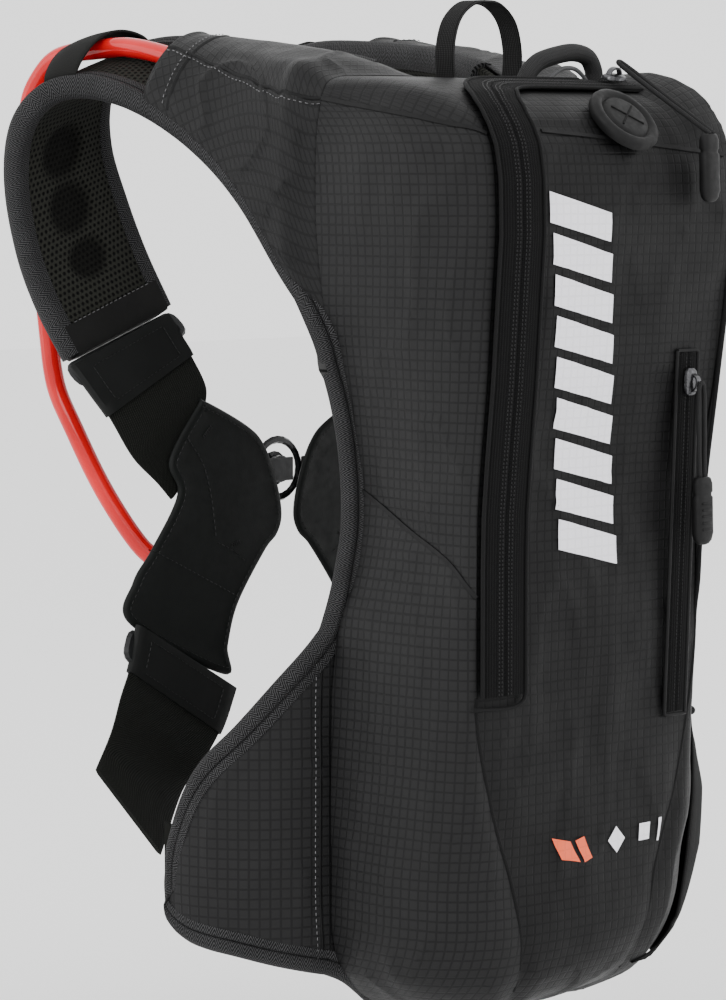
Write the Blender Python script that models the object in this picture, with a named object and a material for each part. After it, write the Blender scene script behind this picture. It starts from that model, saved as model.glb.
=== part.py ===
"""Hydration pack with a four-point harness, as worn: X to the wearer's right, Y forward, Z up, metres.

The origin is the middle of the back panel's body-side face. The left side of the wearer is at -X.
"""

import math

import bmesh
import bpy
from mathutils import Matrix, Vector

# ---------------------------------------------------------------- driving dimensions
PANEL_T = 0.008          # padded back panel
RIM_Y = -0.0085          # plane in which the bag's fabric meets the back panel
SHELL_T = 0.0025         # bag wall
PAD_T = 0.009            # shoulder strap padding
WING_T = 0.005           # side wing padding
WING_BEND_R = 0.055      # radius of the wing round the ribs
ELASTIC_T = 0.0024
CHEST_Y = 0.115          # middle plane of the chest panels
CHEST_T = 0.003
TUBE_R = 0.005           # drinking tube, 10 mm outside
TUBE_GAP = 0.0006        # half the gap between the tube's two lengths
CORD_R = 0.0011          # zip pull cord
GAP = 0.0006             # clearance between neighbours
HANDLE_R = 0.0042        # rolled grab handle
CROWN = 0.003            # the front is this much fuller in its middle
CROWN_END_U = 0.2159     # and flat across from this far up
BIND_T = 0.0016          # edge binding, across the edge
BIND_W = 0.009           # edge binding, over the thickness of what it binds
LOOP_BAR_R = 0.0017      # strap loops are made of this half-thickness of plastic

# Sections of the bag from top to bottom: height, half width at the back, half width at the front
# seams, depth, and how far the gusset bulges past the back's half width.
BAG_SECTIONS = [
    (0.2040, 0.060, 0.054, 0.0095, 0.000),
    (0.2033, 0.070, 0.065, 0.032, 0.000),
    (0.2012, 0.079, 0.074, 0.051, 0.000),
    (0.1975, 0.085, 0.080, 0.067, 0.002),
    (0.1925, 0.088, 0.084, 0.079, 0.003),
    (0.1865, 0.090, 0.087, 0.0885, 0.004),
    (0.1790, 0.092, 0.089, 0.0955, 0.005),
    (0.1705, 0.093, 0.091, 0.1000, 0.006),
    (0.1550, 0.094, 0.092, 0.1025, 0.006),
    (0.1300, 0.094, 0.092, 0.103, 0.006),
    (0.0950, 0.0900, 0.0905, 0.1005, 0.005),
    (0.0600, 0.0830, 0.0870, 0.0980, 0.004),
    (0.0250, 0.0755, 0.0845, 0.0945, 0.003),
    (0.0000, 0.0725, 0.0830, 0.0925, 0.003),
    (-0.0250, 0.0755, 0.0810, 0.0920, 0.003),
    (-0.0500, 0.0815, 0.0805, 0.0920, 0.005),
    (-0.0900, 0.0820, 0.0780, 0.0920, 0.010),
    (-0.1400, 0.082, 0.066, 0.092, 0.022),
    (-0.1750, 0.081, 0.052, 0.092, 0.028),
    (-0.2070, 0.078, 0.045, 0.092, 0.026),
    (-0.2315, 0.070, 0.038, 0.080, 0.018),
    (-0.2460, 0.058, 0.030, 0.055, 0.010),
    (-0.2525, 0.046, 0.024, 0.028, 0.004),
    (-0.2545, 0.040, 0.020, 0.0095, 0.000),
]

# Left shoulder strap: pairs of points on its arm-side and neck-side edges, from the back panel
# over the shoulder to the strap's lower end.
STRAP_EDGES = [
    ((-0.0950, -0.0030, 0.0865), (-0.0325, -0.0030, 0.2035)),
    ((-0.1000, 0.016, 0.112), (-0.0370, 0.018, 0.2110)),
    ((-0.1010, 0.043, 0.145), (-0.0460, 0.047, 0.2160)),
    ((-0.1020, 0.072, 0.169), (-0.0500, 0.080, 0.2195)),
    ((-0.1050, 0.108, 0.189), (-0.0520, 0.115, 0.2210)),
    ((-0.1120, 0.140, 0.199), (-0.0520, 0.150, 0.2205)),
    ((-0.1220, 0.160, 0.196), (-0.0540, 0.178, 0.2135)),
    ((-0.1300, 0.172, 0.180), (-0.0580, 0.189, 0.1970)),
    ((-0.1310, 0.177, 0.152), (-0.0620, 0.184, 0.1710)),
    ((-0.1300, 0.170, 0.118), (-0.0620, 0.172, 0.1440)),
    ((-0.1275, 0.158, 0.091), (-0.0590, 0.160, 0.1160)),
    ((-0.1200, 0.147, 0.066), (-0.0535, 0.148, 0.0895)),
]
COVER_FIRST = 1          # the ripstop yoke cover lies on the strap between these stations
COVER_LAST = 4
KEEPER_STATION = 5.6     # elastic keeper that holds the tube on the strap

# Left wing: distance from the middle along its surface, height of its top and bottom edges.
WING_EDGES = [
    (0.0815, -0.046, -0.226),
    (0.0920, -0.062, -0.224),
    (0.1130, -0.084, -0.219),
    (0.1330, -0.106, -0.214),
    (0.1490, -0.122, -0.211),
    (0.1600, -0.138, -0.208),
    (0.1700, -0.162, -0.202),
    (0.1730, -0.174, -0.194),
]

# Right half of the back panel's outline, from the top middle down.
BACK_OUTLINE = [
    (0.0000, 0.2035), (0.0275, 0.2035), (0.0915, 0.0825), (0.0800, 0.0520), (0.0690, 0.0240),
    (0.0640, 0.0020), (0.0660, -0.0140), (0.0710, -0.0300), (0.0790, -0.0460), (0.0800, -0.1000),
    (0.0800, -0.1900), (0.0720, -0.2190), (0.0540, -0.2350), (0.0290, -0.2445), (0.0000, -0.2475),
]

# Left chest panel's outline in the plane of the chest, clockwise from its top corner.
CHEST_OUTLINE = [
    (-0.0620, 0.0418), (-0.0585, 0.0440), (-0.0285, 0.0299), (-0.0167, 0.0193), (-0.0085, 0.0018),
    (-0.0045, -0.0162), (-0.0080, -0.0268), (-0.0167, -0.0349), (-0.0355, -0.0604), (-0.0425, -0.0812),
    (-0.0450, -0.0960), (-0.1086, -0.0650), (-0.1059, -0.0442), (-0.0933, -0.0285), (-0.0759, -0.0023),
    (-0.0815, 0.0152),
]
TAIL_CORNERS = (10, 11)  # the two corners of the outline at the panel's lower end

# Left elastics: pairs of points on the two edges of the band.
UPPER_ELASTIC = [
    ((-0.1153, 0.1340, 0.0487), (-0.0559, 0.1350, 0.0746)),
    ((-0.1076, 0.1300, 0.0367), (-0.0515, 0.1310, 0.0647)),
    ((-0.0992, 0.1225, 0.0171), (-0.0490, 0.1235, 0.0500)),
    ((-0.0860, 0.1195, 0.0040), (-0.0530, 0.1195, 0.0380)),
    ((-0.0770, 0.1190, -0.0050), (-0.0480, 0.1190, 0.0240)),
]
LOWER_ELASTIC = [
    ((-0.1120, 0.1105, -0.0850), (-0.0520, 0.1095, -0.1215)),
    ((-0.1190, 0.1100, -0.1000), (-0.0665, 0.1070, -0.1365)),
    ((-0.1262, 0.1090, -0.1165), (-0.0850, 0.1030, -0.1500)),
    ((-0.1400, 0.1050, -0.1330), (-0.1300, 0.0690, -0.1720)),
]
WING_BAND = [
    ((-0.1275, 0.0460, -0.1630), (-0.1275, 0.0460, -0.1860)),
    ((-0.1275, 0.0620, -0.1580), (-0.1275, 0.0620, -0.1830)),
    ((-0.1290, 0.0665, -0.1550), (-0.1290, 0.0665, -0.1800)),
]
UPPER_SPLIT = 6          # stations at which the swinging panel's elastics bend
LOWER_SPLIT = 5
SPLIT_GAP = 0.0024       # gap across an elastic where it bends
HOOK_OFFSET = 0.0030     # the hook-and-loop strip lies this far outside the lower elastic

# Drinking tube outside the pack, from the end of the yoke cover to the valve on the chest.
TUBE_ROUTE = [
    (-0.0900, 0.1850, 0.2165), (-0.0930, 0.1985, 0.2060), (-0.0945, 0.2060, 0.1900),
    (-0.0940, 0.2070, 0.1600), (-0.0930, 0.2060, 0.1250), (-0.0920, 0.1980, 0.0950),
    (-0.0910, 0.1965, 0.0800), (-0.0895, 0.1925, 0.0505), (-0.0870, 0.1810, 0.0275),
    (-0.0805, 0.1650, -0.0040), (-0.0715, 0.1465, -0.0320), (-0.0610, 0.1325, -0.0440),
    (-0.0590, 0.1305, -0.0520), (-0.0590, 0.1305, -0.0620),
]
# Drinking tube inside the pack, from the reservoir's outlet to the strap.
INNER_TUBE_ROUTE = [
    (0.0040, -0.0295, -0.1775), (0.0030, -0.0295, -0.1900), (-0.0100, -0.0295, -0.2040),
    (-0.0360, -0.0295, -0.2070), (-0.0580, -0.0295, -0.1920), (-0.0665, -0.0290, -0.1600),
    (-0.0665, -0.0280, -0.1000), (-0.0620, -0.0280, -0.0200), (-0.0630, -0.0280, 0.0300),
    (-0.0700, -0.0270, 0.0850), (-0.0720, -0.0230, 0.1250),
]
VALVE_AXIS = (-0.0590, 0.1305)

# Zips on the bag's front.
MAIN_ZIP_X = -0.0625     # middle of the main zip's upright run
ZIP_W = 0.0272           # main zip's tapes together, on the upright run
ZIP_TOP_W = 0.0200       # the same along the top, where the bag's top covers one edge
ZIP_TOP_U = 0.2209       # where the top run lies, measured up the front from the origin's height
ZIP_T = 0.0014
ZIP_LIFT = 0.0022         # the main zip's tape lies this far off the bag's face
MAIN_ZIP_LOW = -0.085
POCKET_ZIP_X = 0.0600
POCKET_ZIP_HIGH = 0.072
POCKET_ZIP_LOW = -0.104
POCKET_ZIP_W = 0.013
POCKET_SLIDER_AT = 0.014  # the slider's place below the tape's upper end when the pocket is shut
MAIN_SLIDER_X = 0.0500
MAIN_BAIL = 0.0020       # the pull hangs this far from the slider's middle
MAIN_PULL_RUN = (0.1317, -0.8248, -0.5499)
MAIN_PULL_OUT = (0.0, -0.55, 0.82)
MAIN_CORD = 0.0607
TAB_TILT = (0.0, -0.03, -1.0)        # the main pull's tab hangs straight down from its cord
TAB_SPACE = 0.0030       # keeps the tab clear of its cord where the two meet at an angle
PORT_X = 0.0165
PORT_U = 0.1820
PORT_LIFT = 0.0034
HANDLE_Y = -0.0430

RING_C = (-0.0005, 0.1220, 0.0060)    # middle of the chest clasp
RING_R = 0.0150                      # middle line of its ring
RING_HALF = 0.0020

COLOURS = {
    "ripstop": ((0.035, 0.035, 0.037), 0.55, 0.0),
    "air_mesh": ((0.022, 0.023, 0.021), 0.85, 0.0),
    "binding": ((0.045, 0.045, 0.046), 0.70, 0.0),
    "coated_fabric": ((0.018, 0.019, 0.019), 0.60, 0.0),
    "elastic": ((0.014, 0.015, 0.014), 0.90, 0.0),
    "black_plastic": ((0.020, 0.021, 0.022), 0.45, 0.0),
    "rubber": ((0.026, 0.026, 0.027), 0.50, 0.0),
    "zip_tape": ((0.016, 0.016, 0.017), 0.80, 0.0),
    "slider_metal": ((0.200, 0.200, 0.205), 0.30, 1.0),
    "webbing": ((0.022, 0.022, 0.021), 0.80, 0.0),
    "red_tube": ((0.720, 0.030, 0.035), 0.15, 0.0),
    "reservoir_film": ((0.420, 0.500, 0.560), 0.20, 0.0),
}


# ---------------------------------------------------------------- tools
def clear_scene():
    for obj in list(bpy.data.objects):
        bpy.data.objects.remove(obj)


def material(name):
    found = bpy.data.materials.get(name)
    if found:
        return found
    colour, roughness, metallic = COLOURS[name]
    made = bpy.data.materials.new(name)
    made.use_nodes = True
    shader = made.node_tree.nodes["Principled BSDF"]
    shader.inputs["Base Color"].default_value = (*colour, 1)
    shader.inputs["Roughness"].default_value = roughness
    shader.inputs["Metallic"].default_value = metallic
    return made


def add_mesh(name, points, faces, slot, smooth=True):
    """One closed mesh object with its faces pointing out."""
    bm = bmesh.new()
    verts = [bm.verts.new(p) for p in points]
    for face in faces:
        bm.faces.new([verts[i] for i in face])
    bm.normal_update()
    bmesh.ops.triangulate(bm, faces=[f for f in bm.faces if len(f.verts) > 4])
    bmesh.ops.recalc_face_normals(bm, faces=bm.faces)
    mesh = bpy.data.meshes.new(name)
    bm.to_mesh(mesh)
    bm.free()
    mesh.materials.append(material(slot))
    if smooth:
        mesh.shade_smooth()
        mesh.set_sharp_from_angle(angle=math.radians(40))
    obj = bpy.data.objects.new(name, mesh)
    bpy.context.scene.collection.objects.link(obj)
    return obj


def loft(name, rings, slot, closed=False):
    """Joins rings of equally many points with side faces, and caps the ends of an open loft."""
    n = len(rings[0])
    points = [p for ring in rings for p in ring]
    faces = []
    for i in range(len(rings) if closed else len(rings) - 1):
        a = i * n
        b = ((i + 1) % len(rings)) * n
        for k in range(n):
            faces.append((a + k, a + (k + 1) % n, b + (k + 1) % n, b + k))
    if not closed:
        faces.append(tuple(range(n)))
        faces.append(tuple(range(len(points) - n, len(points))))
    return add_mesh(name, points, faces, slot)


def curve_points(points, per_span):
    """A Catmull-Rom curve through the points, as a list of vectors."""
    p = [Vector(q) for q in points]
    p = [p[0] * 2 - p[1], *p, p[-1] * 2 - p[-2]]
    made = []
    for a, b, c, d in zip(p, p[1:], p[2:], p[3:]):
        for k in range(per_span):
            t = k / per_span
            made.append(0.5 * (2 * b + (c - a) * t + (2 * a - 5 * b + 4 * c - d) * t * t
                               + (3 * b - a - 3 * c + d) * t ** 3))
    made.append(p[-2])
    return made


def side_of(point, side):
    """A point of the left half, on the left for side -1 and mirrored to the right for side 1."""
    return Vector((-side * point[0], point[1], point[2]))


def band_frames(edges, per_span, side=-1):
    """Stations along a band from pairs of edge points: (edge a, edge b, outward normal)."""
    a = [side_of(p, side) for p in curve_points([e[0] for e in edges], per_span)]
    b = [side_of(p, side) for p in curve_points([e[1] for e in edges], per_span)]
    mids = [(p + q) / 2 for p, q in zip(a, b)]
    frames = []
    for i, (p, q) in enumerate(zip(a, b)):
        along = mids[min(i + 1, len(mids) - 1)] - mids[max(i - 1, 0)]
        normal = (q - p).cross(along).normalized() * -side
        frames.append((p, q, normal))
    return frames


def band(name, frames, thickness, slot, lift=0.0, trim=0.0, round_edge=0.0):
    """A flat band of even thickness. lift moves it along the normal, trim narrows it at each edge."""
    rings = []
    for p, q, n in frames:
        across = (q - p).normalized()
        a = p + across * trim + n * lift
        b = q - across * trim + n * lift
        half = n * (thickness / 2)
        if round_edge:
            inset = across * round_edge
            rings.append([a + inset + half, b - inset + half, b + half * 0.45, b - half * 0.45,
                          b - inset - half, a + inset - half, a - half * 0.45, a + half * 0.45])
        else:
            rings.append([a + half, b + half, b - half, a - half])
    return loft(name, rings, slot)


def plate(name, outline, y_low, y_high, slot):
    """An outline in the XZ plane, given as (x, z), filled between two values of Y."""
    low = [Vector((x, y_low, z)) for x, z in outline]
    high = [Vector((x, y_high, z)) for x, z in outline]
    return loft(name, [low, high], slot)


def prism(name, outline, z_low, z_high, slot):
    """An outline in the XY plane, given as (x, y), filled between two heights."""
    low = [Vector((x, y, z_low)) for x, y in outline]
    high = [Vector((x, y, z_high)) for x, y in outline]
    return loft(name, [low, high], slot)


def tube(name, points, radius, slot, resolution=2):
    """A round cord or tube along the points, as a curve object with filled ends."""
    data = bpy.data.curves.new(name, "CURVE")
    data.dimensions = "3D"
    data.bevel_depth = radius
    data.bevel_resolution = resolution
    data.use_fill_caps = True
    spline = data.splines.new("POLY")
    spline.points.add(len(points) - 1)
    for target, point in zip(spline.points, points):
        target.co = (*point, 1)
    data.materials.append(material(slot))
    obj = bpy.data.objects.new(name, data)
    bpy.context.scene.collection.objects.link(obj)
    return obj


def turned(name, profile, matrix, slot, sides=16):
    """A solid of revolution about its own Z, from (radius, height) pairs, placed by a matrix."""
    rings = []
    for r, h in profile:
        rings.append([matrix @ Vector((r * math.cos(math.tau * k / sides),
                                       r * math.sin(math.tau * k / sides), h)) for k in range(sides)])
    return loft(name, rings, slot)


def rounded_box(name, size, matrix, slot, bevel=0.001):
    """A box with bevelled edges, placed by a matrix."""
    bm = bmesh.new()
    bmesh.ops.create_cube(bm, size=1.0)
    bmesh.ops.scale(bm, vec=size, verts=bm.verts)
    bmesh.ops.bevel(bm, geom=bm.edges[:], offset=bevel, segments=1, affect="EDGES")
    bm.transform(matrix)
    mesh = bpy.data.meshes.new(name)
    bm.to_mesh(mesh)
    bm.free()
    mesh.materials.append(material(slot))
    obj = bpy.data.objects.new(name, mesh)
    bpy.context.scene.collection.objects.link(obj)
    return obj


def frame_matrix(centre, x_axis, y_hint):
    """A placement with its X along x_axis and its Y as near y_hint as it can be."""
    x = Vector(x_axis).normalized()
    z = x.cross(Vector(y_hint)).normalized()
    y = z.cross(x)
    made = Matrix((x, y, z)).transposed().to_4x4()
    made.translation = Vector(centre)
    return made


def strap_loop(name, centre, bar_axis, strap_axis, length, height, side=-1):
    """A rectangular plastic loop with thick arms and rounded corners."""
    axis = side_of(bar_axis, side)
    matrix = frame_matrix(side_of(centre, side), axis, side_of(strap_axis, side))
    corner = min(height / 2, 0.006)
    stations = []
    for cx, cy, start in ((1, 1, 0), (-1, 1, 90), (-1, -1, 180), (1, -1, 270)):
        for k in range(4):
            angle = math.radians(start + 30 * k)
            stations.append((cx * (length / 2 - corner) + corner * math.cos(angle),
                             cy * (height / 2 - corner) + corner * math.sin(angle), angle))
    rings = []
    for x, y, angle in stations:
        out = Vector((math.cos(angle), math.sin(angle), 0))
        arm = 1.0 + 0.9 * abs(math.cos(angle))
        ring = []
        for k in range(6):
            turn = math.tau * k / 6
            ring.append(matrix @ (Vector((x, y, 0)) - out * (LOOP_BAR_R * arm * (1 - math.cos(turn)))
                                  + Vector((0, 0, LOOP_BAR_R * 1.2 * math.sin(turn)))))
        rings.append(ring)
    return loft(name, rings, "black_plastic", closed=True)


# ---------------------------------------------------------------- bag
def bag_section(z, back, front, depth, bulge, cut=0.0):
    """One level section of the bag: from the left rim round the front to the right rim."""
    d = depth - cut if depth > 0.012 else depth
    rim = Vector((-(back - cut), RIM_Y, z))
    seam = Vector((-(front - cut), min(-d, RIM_Y), z))
    pull = Vector((-(back + bulge - cut), min(-d, RIM_Y), z))
    left = []
    for k in range(5):
        t = k / 4
        left.append(rim * (1 - t) ** 2 + pull * (2 * t * (1 - t)) + seam * t * t)
    crown = CROWN if depth > 0.068 else 0.0
    middle = [Vector((seam.x * (1 - k / 3), seam.y - crown * (1 - (1 - k / 3) ** 2), z)) for k in (1, 2, 3)]
    half = left + middle
    return half + [Vector((-p.x, p.y, p.z)) for p in reversed(half[:-1])]


def bag_rows(cut=0.0):
    """The bag's sections; with a cut, those of its inside."""
    squeeze = 1 - cut / 0.236
    return [bag_section(z * squeeze, b, f, d, g, cut) for z, b, f, d, g in BAG_SECTIONS]


def make_bag_shell():
    """An open bowl of even wall whose mouth lies in the rim plane."""
    outer, inner = bag_rows(), bag_rows(SHELL_T)
    rows, n = len(outer), len(outer[0])
    points = [p for row in outer for p in row] + [p for row in inner for p in row]
    base = rows * n
    faces = []
    for i in range(rows - 1):
        for k in range(n - 1):
            quad = (i * n + k, i * n + k + 1, (i + 1) * n + k + 1, (i + 1) * n + k)
            faces.append(quad)
            faces.append(tuple(base + v for v in reversed(quad)))
    border = [k for k in range(n)] + [i * n + n - 1 for i in range(1, rows)]
    border += [(rows - 1) * n + k for k in range(n - 2, -1, -1)] + [i * n for i in range(rows - 2, 0, -1)]
    for a, b in zip(border, border[1:] + border[:1]):
        faces.append((a, b, base + b, base + a))
    add_mesh("bag_shell", points, faces, "ripstop")


def make_back_panel():
    outline = BACK_OUTLINE + [(-x, z) for x, z in reversed(BACK_OUTLINE[1:-1])]
    plate("back_panel", outline, -PANEL_T, 0.0, "air_mesh")


def make_reservoir():
    """The soft bottle with its folded top and slide closure, and its outlet at the bottom."""
    rings = []
    for z, half, depth in ((-0.170, 0.030, 0.006), (-0.160, 0.050, 0.014), (-0.135, 0.056, 0.018),
                           (-0.030, 0.058, 0.018), (0.090, 0.058, 0.014), (0.128, 0.056, 0.006),
                           (0.140, 0.055, 0.0015)):
        ring = []
        for k in range(16):
            turn = math.tau * k / 16
            ring.append(Vector((0.004 + half * math.copysign(abs(math.cos(turn)) ** 0.6, math.cos(turn)),
                                -0.0295 + depth * math.sin(turn), z)))
        rings.append(ring)
    loft("reservoir", rings, "reservoir_film")
    closure = [(-0.0045, -0.0005), (-0.0045, 0.006), (0.0045, 0.006), (0.0045, -0.0005), (0.0030, -0.0005),
               (0.0030, 0.0042), (-0.0030, 0.0042), (-0.0030, -0.0005)]
    rings = [[Vector((x, -0.0295 + y, 0.1365 + z)) for y, z in closure] for x in (-0.056, 0.064)]
    loft("reservoir_closure", rings, "black_plastic")


def make_inside():
    half = [(0.072, -0.190), (0.074, -0.060), (0.070, 0.000), (0.078, 0.095), (0.076, 0.140), (0.066, 0.170)]
    outline = half + [(-x, z) for x, z in reversed(half)]
    plate("divider_panel", outline, -0.0525, -0.0510, "ripstop")
    make_reservoir()
    outlet = Matrix.Translation((0.0040, -0.0295, -0.1768))
    turned("reservoir_outlet", [(0.0045, 0.0), (0.0075, 0.0), (0.0075, 0.0030), (0.0110, 0.0035), (0.0110, 0.0062)],
           outlet, "black_plastic", 12)


# ---------------------------------------------------------------- harness
def wing_point(s, z, offset=0.0):
    """A point of the left wing's mid surface, at distance s from the middle, moved out by offset."""
    start = 0.080
    turn = min(max((s - start) / WING_BEND_R, 0.0), math.pi / 2)
    ahead = max(s - start - WING_BEND_R * math.pi / 2, 0.0)
    x = -min(s, start) - (WING_BEND_R + offset) * math.sin(turn)
    y = -offset * math.cos(turn) + WING_BEND_R * (1 - math.cos(turn)) + ahead
    return Vector((x, y - 0.004, z))


def make_wings(side, label):
    rings = []
    for s, top, low in WING_EDGES:
        ring = [(top, WING_T / 2), (low, WING_T / 2), (low, -WING_T / 2), (top, -WING_T / 2)]
        rings.append([side_of(wing_point(s, z, off), side) for z, off in ring])
    loft(f"wing_{label}", rings, "ripstop")
    front = [(s, z) for s, z, _ in WING_EDGES[1:]] + [(s, z) for s, _, z in reversed(WING_EDGES[1:])]
    rings = []
    for i, (s, z) in enumerate(front):
        out = Vector((0, 0))
        for (s0, z0), (s1, z1) in ((front[max(i - 1, 0)], front[max(i, 1)]),
                                   (front[min(i, len(front) - 2)], front[min(i + 1, len(front) - 1)])):
            out += Vector((z0 - z1, s1 - s0)).normalized()
        out.normalize()
        ring = []
        for reach, off in ((BIND_T, 1), (BIND_T, -1), (0, -1), (0, 1)):
            away = 2 * GAP + reach
            ring.append(side_of(wing_point(s + out.x * away, z + out.y * away, off * BIND_W / 2), side))
        rings.append(ring)
    loft(f"wing_binding_{label}", rings, "binding")


def make_strap(side, label):
    frames = band_frames(STRAP_EDGES, 2, side)
    band(f"strap_{label}", frames, PAD_T, "air_mesh", round_edge=0.003)
    for which, name in ((0, "outer"), (1, "inner")):
        rings = []
        for p, q, n in frames:
            edge, other = (p, q) if which == 0 else (q, p)
            out = (edge - other).normalized()
            a = edge + out * GAP
            b = edge + out * (GAP + BIND_T)
            rings.append([a + n * BIND_W / 2, b + n * BIND_W / 2, b - n * BIND_W / 2, a - n * BIND_W / 2])
        loft(f"strap_binding_{name}_{label}", rings, "binding")
    cover = band_frames(STRAP_EDGES[COVER_FIRST:COVER_LAST + 1], 2, side)
    rings = []
    for p, q, n in cover:
        ring_low, ring_high = [], []
        for k in range(7):
            t = k / 6
            arch = math.sin(math.pi * t) ** 0.7 if 0 < t < 1 else 0.0
            lift = PAD_T / 2 + 0.0022 + 0.0125 * arch
            point = p.lerp(q, 0.04 + 0.92 * t)
            ring_low.append(point + n * lift)
            ring_high.append(point + n * (lift + 0.0012))
        rings.append(ring_low + ring_high[::-1])
    loft(f"yoke_cover_{label}", rings, "ripstop")
    make_keeper(side, label)


def station(frames, per_span, at):
    """A station between two of a band's stations."""
    k = at * per_span
    i = min(int(k), len(frames) - 2)
    t = k - i
    return tuple(a.lerp(b, t) for a, b in zip(frames[i], frames[i + 1]))


def make_keeper(side, label):
    """The elastic keeper: an arch of flat elastic across the strap, over the tube."""
    frames = band_frames(STRAP_EDGES, 2, side)
    rings = []
    before = station(frames, 2, KEEPER_STATION - 0.35)
    after = station(frames, 2, KEEPER_STATION + 0.35)
    for k in range(9):
        t = k / 8
        arch = math.sin(math.pi * t) ** 0.6 if 0 < t < 1 else 0.0
        ring = []
        for (p, q, n), high in ((before, 0), (after, 0), (after, 1), (before, 1)):
            lift = PAD_T / 2 + 0.0022 + 0.0200 * arch + 0.0012 * high
            ring.append(p.lerp(q, 0.05 + 0.9 * t) + n * lift)
        rings.append(ring)
    loft(f"tube_keeper_{label}", rings, "elastic")


def make_tube():
    """The drinking tube: inside the pack to the end of the yoke cover, then free to the valve."""
    frames = band_frames(STRAP_EDGES, 4)
    on_strap = []
    for at in (1.0, 1.6, 2.3, 3.0, 3.6, 4.2, 4.8, 5.3):
        p, q, n = station(frames, 4, at)
        on_strap.append((p + q) / 2 + n.normalized() * (PAD_T / 2 + 0.0016 + TUBE_R))
    line = curve_points([*INNER_TUBE_ROUTE, *on_strap, *TUBE_ROUTE], 3)
    end = on_strap[5]
    cut = min(range(len(line)), key=lambda i: (line[i] - end).length)
    run = (line[cut + 1] - line[cut]).normalized()
    split = line[cut]
    tube("drinking_tube_inner", [*line[:cut], split - run * TUBE_GAP], TUBE_R, "red_tube")
    tube("drinking_tube", [split + run * TUBE_GAP, *line[cut + 1:]], TUBE_R, "red_tube")


def make_valve():
    """The valve at the tube's end, its clip on the chest panel, and its lock lever."""
    x, y = VALVE_AXIS
    down = Matrix.Translation((x, y, -0.0625)) @ Matrix.Rotation(math.pi, 4, "X")
    turned("valve_collar", [(0.0045, 0.0), (0.0075, 0.0), (0.0080, 0.002), (0.0080, 0.009), (0.0066, 0.011)],
           down, "black_plastic", 14)
    tip = Matrix.Translation((x, y, -0.0740)) @ Matrix.Rotation(math.pi, 4, "X")
    turned("bite_valve", [(0.0062, 0.0), (0.0068, 0.004), (0.0060, 0.010), (0.0078, 0.015), (0.0078, 0.021),
                          (0.0050, 0.026)], tip, "rubber", 14)
    lever = frame_matrix((x, y + 0.0105, -0.0690), (1, 0, 0), (0, 0, 1))
    rounded_box("valve_lever", (0.009, 0.008, 0.0032), lever, "red_tube", 0.0008)
    clip = [(-0.0070, -0.0136), (0.0070, -0.0136), (0.0070, -0.0090)]
    clip += [(0.0084 * math.cos(math.radians(a)), 0.0084 * math.sin(math.radians(a))) for a in range(-50, 61, 22)]
    clip += [(0.0056 * math.cos(math.radians(a)), 0.0056 * math.sin(math.radians(a)))
             for a in range(60, -241, -30)]
    clip += [(0.0084 * math.cos(math.radians(a)), 0.0084 * math.sin(math.radians(a))) for a in range(120, 231, 22)]
    clip += [(-0.0070, -0.0090)]
    prism("tube_clip", [(x + a, y + b) for a, b in clip], -0.0605, -0.0535, "black_plastic")


def make_chest(side, label):
    """One chest panel with the loops and elastics that join it to the strap and the wing."""
    outline = [(-side * x, z) for x, z in CHEST_OUTLINE]
    plate(f"chest_panel_{label}", outline, CHEST_Y - CHEST_T / 2, CHEST_Y + CHEST_T / 2, "coated_fabric")
    end_a, end_b = Vector(STRAP_EDGES[-1][0]), Vector(STRAP_EDGES[-1][1])
    low_mid = (Vector(UPPER_ELASTIC[0][0]) + Vector(UPPER_ELASTIC[0][1])) / 2
    strap_mid = (end_a + end_b) / 2
    strap_loop(f"strap_loop_{label}", strap_mid.lerp(low_mid, 0.5), end_b - end_a, low_mid - strap_mid, 0.078,
               (low_mid - strap_mid).length - 0.005, side)
    tail_a, tail_b = Vector(LOWER_ELASTIC[0][0]), Vector(LOWER_ELASTIC[0][1])
    tail_mid = (tail_a + tail_b) / 2
    corners = [CHEST_OUTLINE[i] for i in TAIL_CORNERS]
    panel_mid = Vector((sum(x for x, _ in corners) / 2, CHEST_Y, sum(z for _, z in corners) / 2))
    edge = Vector((corners[0][0] - corners[1][0], 0, corners[0][1] - corners[1][1]))
    strap_loop(f"tail_loop_{label}", panel_mid.lerp(tail_mid, 0.5), tail_b - tail_a + edge, tail_mid - panel_mid, 0.078,
               (tail_mid - panel_mid).length - 0.0065, side)


def make_elastics(side, label, split):
    """The elastics of one side. A split leaves a gap across them where the chest panel swings."""
    per_span = 4
    upper = band_frames(UPPER_ELASTIC, per_span, side)
    lower = band_frames(LOWER_ELASTIC, per_span, side)
    if split:
        band(f"upper_elastic_{label}", upper[:UPPER_SPLIT + 1], ELASTIC_T, "elastic")
        band(f"chest_elastic_{label}", after_gap(upper, UPPER_SPLIT), ELASTIC_T, "elastic")
        band(f"chest_lower_elastic_{label}", lower[:LOWER_SPLIT + 1], ELASTIC_T, "elastic")
        band(f"lower_elastic_{label}", after_gap(lower, LOWER_SPLIT), ELASTIC_T, "elastic")
    else:
        band(f"upper_elastic_{label}", upper, ELASTIC_T, "elastic")
        band(f"lower_elastic_{label}", lower, ELASTIC_T, "elastic")
    band(f"hook_strip_{label}", lower[7:11], 0.0018, "elastic", lift=HOOK_OFFSET, trim=0.006)
    band(f"wing_band_{label}", band_frames(WING_BAND, 1, side), ELASTIC_T, "elastic")


def after_gap(frames, i):
    """The rest of a band, from just past station i."""
    p, q, n = frames[i]
    p2, q2, _ = frames[i + 1]
    t = SPLIT_GAP / ((p2 + q2) / 2 - (p + q) / 2).length
    return [(p.lerp(p2, t), q.lerp(q2, t), n), *frames[i + 1:]]


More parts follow.
